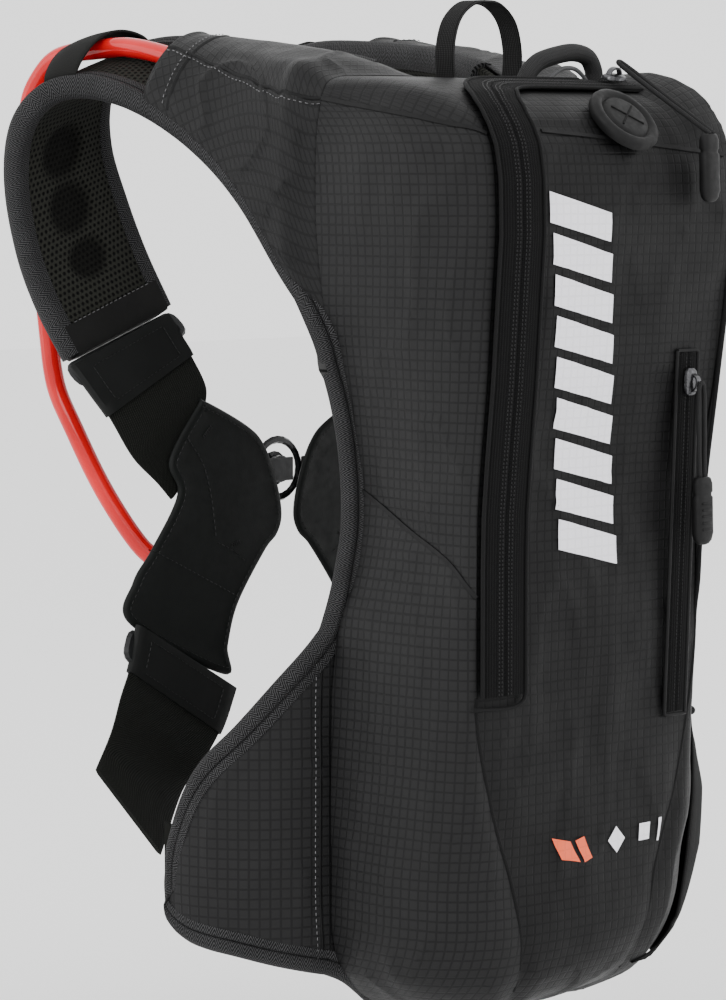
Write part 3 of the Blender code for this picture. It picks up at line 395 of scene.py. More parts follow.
def elastic(name, base, light, rib=0.0013):
    """Woven elastic: raised cords along its length, crossed by fine threads."""
    m = Nodes(name, base, 0.85, Specular_IOR_Level=0.12)
    u, v = m.uv()
    ribs = m.stripe(m.times(u, 1 / rib))
    cross = m.stripe(m.times(v, 1 / 0.0009))
    mixed = m.times(m.ramp(ribs, 0.2, 0.9), m.ramp(cross, 0.0, 1.0, 0.35, 1.0))
    m.colour(m.mix(mixed, base, light))
    m.bump(mixed, 0.0004, 0.9)
    return m.mat


def coated(name, base):
    """Matt coated fabric with a soft grain."""
    m = Nodes(name, base, 0.58, Specular_IOR_Level=0.14)
    cloud = m.ramp(m.noise(0.022, 3.0), 0.3, 0.7)
    m.colour(m.mix(cloud, shade(base, 0.86), shade(base, 1.22)))
    m.rough(m.ramp(m.noise(0.004, 3.0), 0.3, 0.7, 0.50, 0.66))
    m.bump(m.noise(0.0006, 2.0), 0.00012, 0.6)
    return m.mat


def moulded(name, base, rough=0.45, grain=0.0007, **more):
    """Moulded plastic or rubber with a faint grain and small changes of gloss."""
    m = Nodes(name, base, rough, Specular_IOR_Level=0.2, **more)
    cloud = m.ramp(m.noise(0.010, 3.0), 0.3, 0.7)
    m.colour(m.mix(cloud, shade(base, 0.85), shade(base, 1.2)))
    m.rough(m.ramp(m.noise(0.003, 3.0), 0.3, 0.7, rough - 0.08, rough + 0.10))
    m.bump(m.noise(grain, 2.0), 0.00008, 0.5)
    return m.mat


def plated(name, base, rough=0.28):
    """Plated metal with fine handling marks."""
    m = Nodes(name, base, rough, Metallic=1.0)
    marks = m.ramp(m.noise(0.0015, 4.0), 0.4, 0.7)
    m.colour(m.mix(marks, base, shade(base, 0.7)))
    m.rough(m.ramp(m.noise(0.0008, 3.0), 0.3, 0.7, rough - 0.06, rough + 0.14))
    return m.mat


def thread(name, base):
    """Sewing thread: twisted ply."""
    m = Nodes(name, base, 0.7)
    m.colour(m.mix(m.ramp(m.noise(0.0008, 2.0), 0.35, 0.65), shade(base, 0.6), shade(base, 1.4)))
    return m.mat


def tube_red(name):
    """Glossy soft tube."""
    m = Nodes(name, (0.60, 0.006, 0.010), 0.16, Coat_Weight=0.08, Coat_Roughness=0.06, Specular_IOR_Level=0.28)
    cloud = m.ramp(m.noise(0.02, 2.0), 0.3, 0.7)
    m.colour(m.mix(cloud, (0.50, 0.004, 0.007), (0.62, 0.008, 0.012)))
    m.rough(m.ramp(m.noise(0.006, 2.0), 0.3, 0.7, 0.09, 0.16))
    return m.mat


def print_ink(name, base):
    """Printed ink on cloth, which shows the weave through it."""
    m = Nodes(name, base, 0.55)
    u, v = m.uv(1 / 0.0048)
    grid = m.math("MAXIMUM", m.edge(u, 0.08), m.edge(v, 0.08))
    m.colour(m.mix(m.times(grid, 0.16), base, shade(base, 0.55)))
    m.bump(m.times(grid, -1.0), 0.0002, 0.6)
    return m.mat


def make_materials():
    made = {
        "side": ripstop("ripstop_side", (0.0118, 0.0118, 0.0121), (0.0046, 0.0046, 0.0048)),
        "front": ripstop("ripstop_front", (0.0050, 0.0050, 0.0052), (0.0002, 0.0002, 0.0003)),
        "binding": twill("twill_binding", (0.0008, 0.0008, 0.0009), (0.058, 0.058, 0.060), 0.0022, 0.0058),
        "piping": twill("twill_piping", (0.001, 0.001, 0.0011), (0.009, 0.009, 0.0094)),
        "mesh": air_mesh("air_mesh", (0.002, 0.002, 0.0017), (0.023, 0.0235, 0.0195)),
        "back_mesh": air_mesh("back_mesh", (0.012, 0.012, 0.012), (0.050, 0.050, 0.050)),
        "elastic": elastic("ribbed_elastic", (0.0025, 0.0028, 0.0024), (0.016, 0.017, 0.014)),
        "smooth_elastic": elastic("flat_elastic", (0.006, 0.006, 0.006), (0.020, 0.021, 0.019), 0.0008),
        "coated": coated("coated_panel", (0.0042, 0.0050, 0.0046)),
        "tab": coated("tab_rubber", (0.0050, 0.0054, 0.0052)),
        "plastic": moulded("acetal_black", (0.012, 0.0125, 0.013), 0.38),
        "gloss": moulded("acetal_gloss", (0.008, 0.0085, 0.009), 0.22),
        "rubber": moulded("soft_rubber", (0.0030, 0.0030, 0.0031), 0.55),
        "metal": plated("slider_plate", (0.10, 0.10, 0.105)),
        "tape": elastic("zip_tape", (0.0008, 0.0008, 0.0009), (0.0048, 0.0048, 0.0050), 0.0016),
        "coil": moulded("zip_coil", (0.010, 0.010, 0.0105), 0.34),
        "webbing": elastic("black_webbing", (0.004, 0.004, 0.004), (0.030, 0.030, 0.030), 0.0011),
        "cord": twill("braided_cord", (0.006, 0.006, 0.006), (0.035, 0.035, 0.036), 0.0010, 0.0016),
        "thread_dark": thread("thread_dark", (0.0012, 0.0012, 0.0012)),
        "thread_grey": thread("thread_grey", (0.115, 0.115, 0.118)),
        "red": tube_red("red_tube"),
        "white": print_ink("print_white", (0.80, 0.79, 0.84)),
        "orange": print_ink("print_orange", (0.78, 0.10, 0.025)),
        "film": moulded("reservoir_film", (0.30, 0.40, 0.48), 0.2, 0.002, Alpha=0.85),
        "fuzz": coated("hook_and_loop", (0.012, 0.012, 0.0105)),
        # near-black strips: painted shade beside the seam folds and in the port's slits
        "gap_shade": moulded("gap_shade_black", (0.002, 0.002, 0.002), 0.8),
    }
    return made


# ---------------------------------------------------------------- mesh tools
def curve(points, per_span):
    """A Catmull-Rom curve through rows of numbers."""
    p = np.asarray(points, float)
    p = np.vstack([p[0] * 2 - p[1], p, p[-1] * 2 - p[-2]])
    made = []
    for a, b, c, d in zip(p, p[1:], p[2:], p[3:]):
        for k in range(per_span):
            t = k / per_span
            made.append(0.5 * (2 * b + (c - a) * t + (2 * a - 5 * b + 4 * c - d) * t * t
                               + (3 * b - a - 3 * c + d) * t ** 3))
    made.append(p[-2])
    return np.array(made)


def between(rows, k):
    """The row at k, which may lie between two rows."""
    j = min(int(k), len(rows) - 2)
    return rows[j] * (1 - (k - j)) + rows[j + 1] * (k - j)


def unit(v):
    v = np.asarray(v, float)
    return v / np.maximum(np.linalg.norm(v, axis=-1, keepdims=True), 1e-12)


def spread(points):
    """Distance along a line of points."""
    step = np.linalg.norm(np.diff(points, axis=0), axis=1)
    return np.concatenate([[0.0], np.cumsum(step)])


def read_at(want, at, rows):
    """The rows' values at the wanted places, where at holds each row's own place."""
    return np.stack([np.interp(want, at, rows[:, i]) for i in range(rows.shape[1])], axis=-1)


def even(points, step):
    """The line sampled again at even steps."""
    at = spread(points)
    count = max(int(round(at[-1] / step)), 2)
    return read_at(np.linspace(0, at[-1], count + 1), at, points)


def new_object(name, points, faces, mats, uvs=None, face_mats=None, smooth=True, deep=None):
    mesh = bpy.data.meshes.new(name)
    mesh.from_pydata([tuple(p) for p in points], [], [tuple(f) for f in faces])
    for m in (mats if isinstance(mats, (list, tuple)) else [mats]):
        mesh.materials.append(m)
    if uvs is not None:
        layer = mesh.uv_layers.new(name="cloth")
        index = np.empty(len(mesh.loops), int)
        mesh.loops.foreach_get("vertex_index", index)
        layer.data.foreach_set("uv", np.asarray(uvs, float)[index].ravel())
    if face_mats is not None:
        mesh.polygons.foreach_set("material_index", np.asarray(face_mats, int))
    if deep is not None:
        layer = mesh.attributes.new("deep", "FLOAT", "POINT")
        layer.data.foreach_set("value", np.asarray(deep, float))
    if smooth:
        mesh.shade_smooth()
    mesh.update()
    return link(bpy.data.objects.new(name, mesh))


def grid_faces(m, n, base=0, close_v=False, flip=False):
    made = []
    for i in range(m - 1):
        for k in range(n if close_v else n - 1):
            a, b = i * n + k, i * n + (k + 1) % n
            quad = (base + a, base + b, base + b + n, base + a + n)
            made.append(quad[::-1] if flip else quad)
    return made


def mend(mesh, merge=0.0):
    """Turns all faces outward, after merging points nearer than merge."""
    bm = bmesh.new()
    bm.from_mesh(mesh)
    if merge:
        bmesh.ops.remove_doubles(bm, verts=bm.verts, dist=merge)
    bmesh.ops.recalc_face_normals(bm, faces=bm.faces)
    bm.to_mesh(mesh)
    bm.free()


def thicken(obj, thick):
    solid = obj.modifiers.new("thickness", "SOLIDIFY")
    solid.thickness, solid.offset = thick, -1


def shell(name, faces_at, uv, mats, deep=None, flip=False, turn=False):
    """A padded panel from its outer and inner grids, closed all round. The last material is the inner face's."""
    outer, inner = faces_at
    m, n = outer.shape[:2]
    faces = grid_faces(m, n, flip=flip) + grid_faces(m, n, m * n, flip=not flip)
    half = len(faces) // 2
    border = [*range(n), *(i * n + n - 1 for i in range(1, m)),
              *((m - 1) * n + k for k in range(n - 2, -1, -1)), *(i * n for i in range(m - 2, 0, -1))]
    for p, q in zip(border, border[1:] + border[:1]):
        quad = (p, q, m * n + q, m * n + p)
        faces.append(quad[::-1] if turn else quad)
    index = [0] * half + [len(mats) - 1] * half + [0] * len(border)
    obj = new_object(name, np.vstack([outer.reshape(-1, 3), inner.reshape(-1, 3)]), faces, mats,
                     np.vstack([np.reshape(uv, (-1, 2))] * 2), index,
                     deep=None if deep is None else np.concatenate([np.ravel(d) for d in deep]))
    mend(obj.data)
    return obj


def skin(name, grid, uv, mat, thick=0.0, flip=False, deep=None):
    """A cloth surface from a grid of points, with its own thickness."""
    m, n = grid.shape[:2]
    obj = new_object(name, grid.reshape(-1, 3), grid_faces(m, n, flip=flip), mat, uv.reshape(-1, 2),
                     deep=None if deep is None else deep.reshape(-1))
    if thick:
        thicken(obj, thick)
    return obj


def ring_loft(name, rings, mat):
    """Closed rings joined into a solid; coordinates run along it (v) and round it (u), in metres."""
    rings = np.asarray(rings, float)
    m, n = rings.shape[:2]
    loops = np.concatenate([rings, rings[:, :1]], axis=1)
    uvs = [(u, v) for loop, v in zip(loops, spread(rings.mean(axis=1))) for u in spread(loop)]
    faces = grid_faces(m, n + 1) + [tuple(range(n - 1, -1, -1)), tuple(range((m - 1) * (n + 1), m * (n + 1) - 1))]
    obj = new_object(name, loops.reshape(-1, 3), faces, mat, uvs)
    mend(obj.data, 1e-6)
    obj.data.shade_smooth()
    obj.data.set_sharp_from_angle(angle=math.radians(50))
    return obj


def sweep(name, line, normals, profile, mat):
    """A profile of (out, up) pairs carried along a line. up is the normal, out is at right angles to it."""
    line = np.asarray(line, float)
    along = unit(np.gradient(line, axis=0))
    up = unit(normals - (normals * along).sum(1, keepdims=True) * along)
    out = np.cross(along, up)
    rings = np.array([[p + o * a + u * b for a, b in profile] for p, o, u in zip(line, out, up)])
    return ring_loft(name, rings, mat)


def round_tube(name, line, radius, mat, sides=10):
    """A round cord along a line of points, built as a mesh."""
    along = unit(np.gradient(np.asarray(line, float), axis=0))
    up = []
    hint = np.array([0.0, 0.0, 1.0]) if abs(along[0][2]) < 0.9 else np.array([1.0, 0.0, 0.0])
    for a in along:
        hint = unit(hint - a * np.dot(hint, a))
        up.append(hint)
    turns = [math.tau * k / sides for k in range(sides)]
    return sweep(name, line, np.array(up), [(radius * math.cos(t), radius * math.sin(t)) for t in turns], mat)


def curve_tube(name, line, radius, mat):
    data = bpy.data.curves.new(name, "CURVE")
    data.dimensions = "3D"
    data.bevel_depth = radius
    data.bevel_resolution = 6
    data.use_fill_caps = True
    spline = data.splines.new("POLY")
    spline.points.add(len(line) - 1)
    for target, point in zip(spline.points, line):
        target.co = (*point, 1)
    data.materials.append(mat)
    return link(bpy.data.objects.new(name, data))


def mirror_line(line, side):
    line = np.array(line, float)
    if side > 0:
        line[..., 0] *= -1
    return line


def bumps(points, size, amount, seed=0.0, stretch=(1, 1, 1)):
    """Smooth noise at each point, from -amount to amount."""
    s = np.array(stretch) / size
    return np.array([noise.noise(Vector((p[0] * s[0] + seed, p[1] * s[1] - seed, p[2] * s[2] + seed * 0.7)))
                     for p in points]) * amount


def sewn(name, line, normals, mat, length=0.0021, gap=0.0011, width=0.00048, height=0.00022):
    """A line of stitches: small rounded bars that dip at both ends."""
    at = spread(line)
    points, faces = [], []
    along = unit(np.gradient(line, axis=0))
    where = 0.0005
    profile = [(-0.5, 0.1, 0.0), (-0.32, 0.9, 0.8), (0.32, 0.9, 0.8), (0.5, 0.1, 0.0)]
    while where + length < at[-1]:
        mid = where + length / 2
        p, a, n = read_at(mid, at, line), unit(read_at(mid, at, along)), unit(read_at(mid, at, normals))
        s = np.cross(a, n)
        base = len(points)
        for t, w, h in profile:
            q = p + a * t * length
            points += [q - s * width * w / 2 - n * 0.00015, q + s * width * w / 2 - n * 0.00015, q + n * height * h]
        for i in range(3):
            b = base + i * 3
            faces += [(b, b + 3, b + 5, b + 2), (b + 2, b + 5, b + 4, b + 1), (b + 1, b + 4, b + 3, b)]
        faces += [(base, base + 2, base + 1), (base + 9, base + 10, base + 11)]
        where += length + gap
    return new_object(name, points, faces, mat, [(p[0], p[2]) for p in points], smooth=False)


def join(name, objs):
    """Several meshes as one object."""
    verts, faces, uvs, mats, index = [], [], [], [], []
    for o in objs:
        base = len(verts)
        me = o.data
        verts += [tuple(v.co) for v in me.vertices]
        layer = me.uv_layers.get("cloth")
        slots = []
        for m in me.materials:
            if m not in mats:
                mats.append(m)
            slots.append(mats.index(m))
        for p in me.polygons:
            faces.append([base + v for v in p.vertices])
            index.append(slots[p.material_index] if slots else 0)
            for li in p.loop_indices:
                uvs.append(tuple(layer.data[li].uv) if layer else (0, 0))
    mesh = bpy.data.meshes.new(name)
    mesh.from_pydata(verts, [], faces)
    for m in mats:
        mesh.materials.append(m)
    layer = mesh.uv_layers.new(name="cloth")
    layer.data.foreach_set("uv", np.array(uvs, float).ravel())
    mesh.polygons.foreach_set("material_index", index)
    mesh.shade_smooth()
    mesh.set_sharp_from_angle(angle=math.radians(55))
    for o in objs:
        bpy.data.objects.remove(o)
    return link(bpy.data.objects.new(name, mesh))


def tree_of(obj):
    """A search tree of an object's final shape."""
    bpy.context.view_layer.update()
    found = obj.evaluated_get(bpy.context.evaluated_depsgraph_get())
    mesh = found.to_mesh()
    tree = BVHTree.FromPolygons([v.co.copy() for v in mesh.vertices], [tuple(p.vertices) for p in mesh.polygons])
    found.to_mesh_clear()
    return tree


def snap(tree, points, lift=0.0):
    """Points moved onto the nearest surface, and the surface's normals there."""
    where, normals = [], []
    for p in points:
        hit, n, _, _ = tree.find_nearest(Vector(p))
        n = Vector(n)
        where.append(hit + n * lift)
        normals.append(n)
    return np.array(where), np.array(normals)


# ---------------------------------------------------------------- shared lines
def band_frames(edges, per_span):
    a = curve([e[0] for e in edges], per_span)
    b = curve([e[1] for e in edges], per_span)
    mid = (a + b) / 2
    return a, b, unit(np.cross(b - a, np.gradient(mid, axis=0)))


def tube_line():
    """The drinking tube's whole line, and the index at which it leaves the yoke cover."""
    a, b, n = band_frames(STRAP_EDGES, 4)
    on_strap = [(between(a, k) + between(b, k)) / 2 + unit(between(n, k)) * (STRAP_T / 2 + 0.0016 + TUBE_R)
                for k in np.array([1.0, 1.6, 2.3, 3.0, 3.6, 4.2, 4.8, 5.3]) * 4]
    line = curve([*INNER_TUBE_ROUTE, *on_strap, *TUBE_ROUTE], 3)
    cut = int(np.argmin(np.linalg.norm(line - on_strap[4], axis=1)))
    return line, cut


def make_tube(M):
    """The drinking tube, one length inside the pack and one outside."""
    line, cut = tube_line()
    run = unit(line[cut + 1] - line[cut])
    outside = np.vstack([line[cut] + run * 0.0006, line[cut + 1:]])
    inside = np.vstack([line[:cut], line[cut] - run * 0.0006])
    smooth = curve(outside, 3)
    tube = curve_tube("drinking_tube_outside", smooth, TUBE_R, M["red"])
    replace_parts(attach(tube, "pack"), "drinking_tube")
    inner = curve_tube("drinking_tube_inside", curve(inside, 2), TUBE_R, M["red"])
    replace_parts(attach(inner, "pack"), "drinking_tube_inner")
    return tube, inner, smooth, curve(inside, 2)


# ---------------------------------------------------------------- bag, yoke and wings
def cap_z(x):
    """Height of the seam across the front, below the bag's top."""
    return 0.1797 - 0.09 * (x + 0.047)


def bag_params():
    """The bag's section values at evenly refined levels, from top to bottom."""
    return curve(BAG_SECTIONS, 6)


def left_rim(z, back):
    """X of the left gusset's back edge: where the shoulder cloth leaves it, it stands out further."""
    return -(back + float(np.interp(z, [p[0] for p in LEFT_FULL], [p[1] for p in LEFT_FULL])))


def left_side(t, z, back, front, depth, bulge):
    """The left gusset: it rolls round a soft corner to the main zip's outer edge, or to the front seam below it."""
    seam_y = min(-depth, RIM_Y)
    corner = -min(front, ZIP_SEAM_X)
    soft = float(np.clip((z + 0.125) / 0.045, 0, 1))
    soft = soft * soft * (3 - 2 * soft)
    full = -left_rim(z, back) - back
    rim, seam = np.array([left_rim(z, back), RIM_Y, z]), np.array([corner, seam_y, z])
    held = max(bulge - full * 1.1, full * 0.4)
    pull = np.array([-(back + full + held * 0.55), seam_y, z])
    hard_a, hard_b = rim + (pull - rim) * 2 / 3, seam + (pull - seam) * 2 / 3
    soft_a = np.array([-(back + max(bulge * 1.3, full + 0.0008)), RIM_Y + (seam_y - RIM_Y) * 0.50, z])
    soft_b = np.array([-(max(front, back + full * 0.5) + 0.0030), seam_y + 0.001, z])
    a, b = hard_a + (soft_a - hard_a) * soft, hard_b + (soft_b - hard_b) * soft
    return rim * (1 - t) ** 3 + a * 3 * t * (1 - t) ** 2 + b * 3 * t * t * (1 - t) + seam * t ** 3, corner


def right_side(t, z, back, front, depth, bulge):
    """The right gusset, as if it were on the left: one soft bend from the rim to the front seam."""
    seam_y = min(-depth, RIM_Y)
    rim, seam = np.array([-back, RIM_Y, z]), np.array([-front, seam_y, z])
    pull = np.array([-(back + bulge), seam_y, z])
    return rim * (1 - t) ** 2 + pull * 2 * t * (1 - t) + seam * t * t


def bag_grid():
    """Points over the bag, left rim round the front to the right rim, with their cloth coordinates."""
    points = []
    t = np.linspace(0, 1, SIDE_COLS + 1)[:, None]
    k = np.linspace(0, 1, FRONT_COLS // 2 + 1)[1:, None]
    for z, back, front, depth, bulge in bag_params():
        crown = 0.003 * min(max((depth - 0.045) / 0.03, 0), 1)
        soft, corner = left_side(t, z, back, front, depth, bulge)
        front_y = min(-depth, RIM_Y) - crown * (1 - (1 - k) ** 2)
        left, right = (np.concatenate([edge * (1 - k), front_y, k * 0 + z], axis=1) for edge in (corner, -front))
        other = np.vstack([right_side(t, z, back, front, depth, bulge), right])[:-1][::-1] * np.array([-1, 1, 1])
        points.append(np.vstack([soft, left, other]))
    grid = np.array(points)
    mid = grid.shape[1] // 2
    v = -spread(grid[:, mid])
    v -= np.interp(0.0, -grid[:, mid, 2], v)
    around = np.array([spread(row) for row in grid])
    return grid, np.dstack([around - around[:, mid:mid + 1], v[:, None] + around * 0])


def grid_normals(grid):
    du = np.gradient(grid, axis=1)
    dv = np.gradient(grid, axis=0)
    return unit(np.cross(dv, du))


def near(points, lines, reach):
    """How close each point is to any of the lines: 1 on a line, fading to 0 by about reach."""
    tree = KDTree(sum(len(l) for l in lines))
    i = 0
    for line in lines:
        for p in line:
            tree.insert(Vector(p), i)
            i += 1
    tree.balance()
    return np.array([math.exp(-(tree.find(Vector(p))[2] / reach) ** 2) for p in points])


def side_x(z, depth_share, rows, left=True):
    """A point of the left gusset at a height; depth_share runs from 0 at the rim to 1 at the front seam."""
    back, front, depth, bulge = read_at(-z, -rows[:, 0], rows[:, 1:])
    if left:
        return left_side(depth_share, z, back, front, depth, bulge)[0]
    return right_side(depth_share, z, back, front, depth, bulge)


def wing_out(s, z, offset):
    turn = min(max((s - 0.080) / WING_BEND_R, 0.0), math.pi / 2)
    ahead = max(s - 0.080 - WING_BEND_R * math.pi / 2, 0.0)
    x = -min(s, 0.080) - (WING_BEND_R + offset) * math.sin(turn)
    y = -offset * math.cos(turn) + WING_BEND_R * (1 - math.cos(turn)) + ahead
    return np.array([x, y - 0.004, z])


def wing_normal(s):
    turn = min(max((s - 0.080) / WING_BEND_R, 0.0), math.pi / 2)
    return np.array([-math.sin(turn), -math.cos(turn), 0.0])


def seam_lines(rows):
    """The sewn lines of the left side: points before they are laid on the cloth."""
    front = np.array([side_x(z, 1.0, rows) for z in np.linspace(0.197, -0.236, 90)])
    diagonal = ((0.0080, 0.02), (-0.008, 0.30), (-0.022, 0.62), (-0.038, 0.98))
    yoke = ((0.1935, 0.0), (0.1880, 0.35), (0.1820, 0.7), (0.1766, 1.0))
    return front, *(curve([side_x(z, t, rows) for z, t in line], 12) for line in (diagonal, yoke))


def right_seam(rows):
    return np.array([side_x(z, 1.0, rows, False) for z in np.linspace(0.197, -0.236, 90)]) * np.array([-1, 1, 1])


def make_bag(M):
    """The bag's cloth: both gussets, the front and the top, in one sewn surface."""
    grid, uv = bag_grid()
    rows = bag_params()
    front, diagonal, yoke = seam_lines(rows)
    normal = grid_normals(grid)
    flat = grid.reshape(-1, 3)
    right_front = right_seam(rows)
    cap = np.array([[x, -np.interp(-cap_z(x), -rows[:, 0], rows[:, 3]) - 0.003, cap_z(x)]
                    for x in np.linspace(-0.047, 0.086, 40)])
    sewn_down = near(flat, [front, right_front, diagonal, yoke, cap], 0.006)
    rim = np.clip((-flat[:, 1] + RIM_Y) / 0.015, 0, 1)
    top = np.clip((0.2000 - flat[:, 2]) / 0.02, 0.15, 1)
    gusset = np.abs(normal.reshape(-1, 3)[:, 0]) > 0.7
    wave = bumps(flat, 0.055, 0.0024, 3.0, (1, 1, 0.8))
    crease = np.abs(bumps(flat, 0.028, 1.0, 8.0, (1.0, 1.0, 0.45)))
    fold = (np.exp(-(crease / 0.07) ** 2) * 0.0011 - 0.0003) * np.where(gusset, 1.0, 0.8)
    fine = bumps(flat, 0.010, 0.00035, 5.0, (1, 1, 0.8))
    lift = (wave + fold + fine) * (1 - 0.75 * sewn_down) * rim * top - 0.0009 * sewn_down * rim
    zipped = (flat[:, 0] < ZIP_EDGE_X + 0.003) & (flat[:, 1] < -0.07) & ~gusset & (flat[:, 2] > -0.088)
    calm = (flat[:, 1] < -0.03) & (flat[:, 2] > 0.182)
    lift = np.where(zipped, -0.0004, lift) * np.where(calm, 0.35, 1.0)
    flat = flat + normal.reshape(-1, 3) * lift[:, None]
    hump = np.clip((flat[:, 0] - 0.058) / 0.03, 0, 1) * np.clip((flat[:, 2] - 0.15) / 0.045, 0, 1)
    hump *= np.clip((-flat[:, 1] - 0.02) / 0.04, 0, 1)
    flat = flat + np.outer(hump ** 0.8, (-0.0015, 0.0, 0.0105))
    shaped = flat.reshape(grid.shape)
    m, n = grid.shape[:2]
    left = SIDE_COLS
    right = n - 1 - SIDE_COLS
    mats, index = [M["side"], M["front"], M["cap"], M["gusset"], M["yoke"]], []
    for i in range(m - 1):
        for k in range(n - 1):
            c = (grid[i, k] + grid[i + 1, k + 1]) / 2
            if k < left:
                seam_z = np.interp(-c[1], -yoke[:, 1], yoke[:, 2])
                index.append(4 if c[2] > seam_z else 0)
            elif k >= right:
                index.append(3)
            else:
                index.append(2 if c[2] > cap_z(c[0]) and c[0] > ZIP_EDGE_X else 1)
    faces = grid_faces(m, n)
    obj = new_object("bag_cloth", shaped.reshape(-1, 3), faces, mats, uv.reshape(-1, 2), index)
    return obj, front, diagonal, yoke, cap


def yoke_grid():
    """The cloth from the bag's top corner over the shoulder to its sleeve end."""
    rows = bag_params()
    low = [(left_rim(z, np.interp(-z, -rows[:, 0], rows[:, 1])), RIM_Y, z) for z in np.linspace(0.079, 0.1925, 13)]
    top = [(-0.0940, RIM_Y, 0.1975), (-0.0910, RIM_Y, 0.2012), (-0.0850, RIM_Y, 0.2033), (-0.0765, RIM_Y, 0.2042),
           (-0.0580, RIM_Y, 0.2045), (-0.0335, RIM_Y, 0.2045)]
    root = even(np.array(low + top), 0.0035)
    across = spread(root) / spread(root)[-1]
    a, b, n = band_frames(STRAP_EDGES, 8)
    bulk = root - (root[:1] * (1 - across[:, None]) + root[-1:] * across[:, None])
    def over(at, share, arch_lift, keep, tuck):
        pa, pb, nn = between(a, at * 8), between(b, at * 8), unit(between(n, at * 8))
        arch = np.sin(np.pi * share) ** 0.62
        above = STRAP_T / 2 - 0.0012 * (1 - arch) + 0.0018 + arch_lift * arch * (1 - keep)
        point = pa + (pb - pa) * share[:, None] + nn * above[:, None] + bulk * keep
        point -= nn * (tuck * np.exp(-(np.minimum(share, 1 - share) / 0.05) ** 2))[:, None]
        return point
    stations = [(0.75, 0.0130, 0.84), (1.3, 0.0145, 0.62), (2.0, 0.0150, 0.32), (2.7, 0.0150, 0.12),
                (3.3, 0.0145, 0.02), (3.75, 0.0140, 0.0), (3.95, 0.0135, 0.0)]
    before = root + np.array([0.0, -0.022, 0.0]) + np.outer(across > 0.62, (0.0, 0.0, -0.0004))
    rows_ = [before, root] + [over(at, across, up, keep, 0.0015) for at, up, keep in stations]
    lines = [curve([r[i] for r in rows_], 9)[9:] for i in range(len(root))]
    grid = np.array(lines).transpose(1, 0, 2)
    grid[0] = root
    uv = np.zeros((*grid.shape[:2], 2))
    mid = len(root) // 2
    v = spread(grid[:, mid])
    for i, row in enumerate(grid):
        along = spread(row)
        uv[i, :, 0] = v[i] + 0.09
        uv[i, :, 1] = along + 0.083
    return grid, uv, across


def make_yoke(M, side, label):
    grid, uv, across = yoke_grid()
    grid, uv = np.flip(grid, 1).copy(), np.flip(uv, 1).copy()
    normal = grid_normals(grid)
    if np.mean(normal[:, :, 2]) < 0:
        normal = -normal
    flat = grid.reshape(-1, 3)
    m, n = grid.shape[:2]
    edge = np.minimum(np.arange(n), np.arange(n)[::-1])[None, :].repeat(m, 0).reshape(-1)
    row = np.arange(m)[:, None].repeat(n, 1).reshape(-1)
    free = np.clip(edge / 5, 0, 1) * np.clip(row / 5, 0, 1) * np.clip((m - 1 - row) / 4, 0.1, 1)
    crease = np.abs(bumps(flat, 0.034, 1.0, 14.0 + side, (0.5, 1.0, 1.0)))
    lift = bumps(flat, 0.05, 0.0026, 21.0, (1, 0.6, 1)) + (np.exp(-(crease / 0.06) ** 2) * 0.0014 - 0.0004)
    lift += bumps(flat, 0.012, 0.0004, 31.0)
    grid = (flat + normal.reshape(-1, 3) * (lift * free)[:, None]).reshape(grid.shape)
    share = np.flip(across)
    index = []
    for i in range(m - 1):
        for k in range(n - 1):
            index.append(1 if share[k] > np.interp(i, [0, 8, m - 1], YOKE_SPLIT) else 0)
    grid = mirror_line(grid, side)
    faces = grid_faces(m, n)
    test = Vector(grid[20][n // 2 + 1] - grid[20][n // 2]).cross(Vector(grid[21][n // 2] - grid[20][n // 2]))
    if test.z < 0:
        faces = [f[::-1] for f in faces]
    obj = new_object(f"yoke_cloth_{label}", grid.reshape(-1, 3), faces, [M["yoke"], M["side"]],
                     uv.reshape(-1, 2), index)
    split_k = [int(np.argmin(np.abs(share - np.interp(i, [0, 8, m - 1], YOKE_SPLIT)))) for i in range(m)]
    seam = np.array([grid[i, split_k[i]] for i in range(m)])
    thicken(obj, 0.0011)
    return obj, seam, grid[-15]


def wing_edges():
    return curve(WING_EDGES, 6)


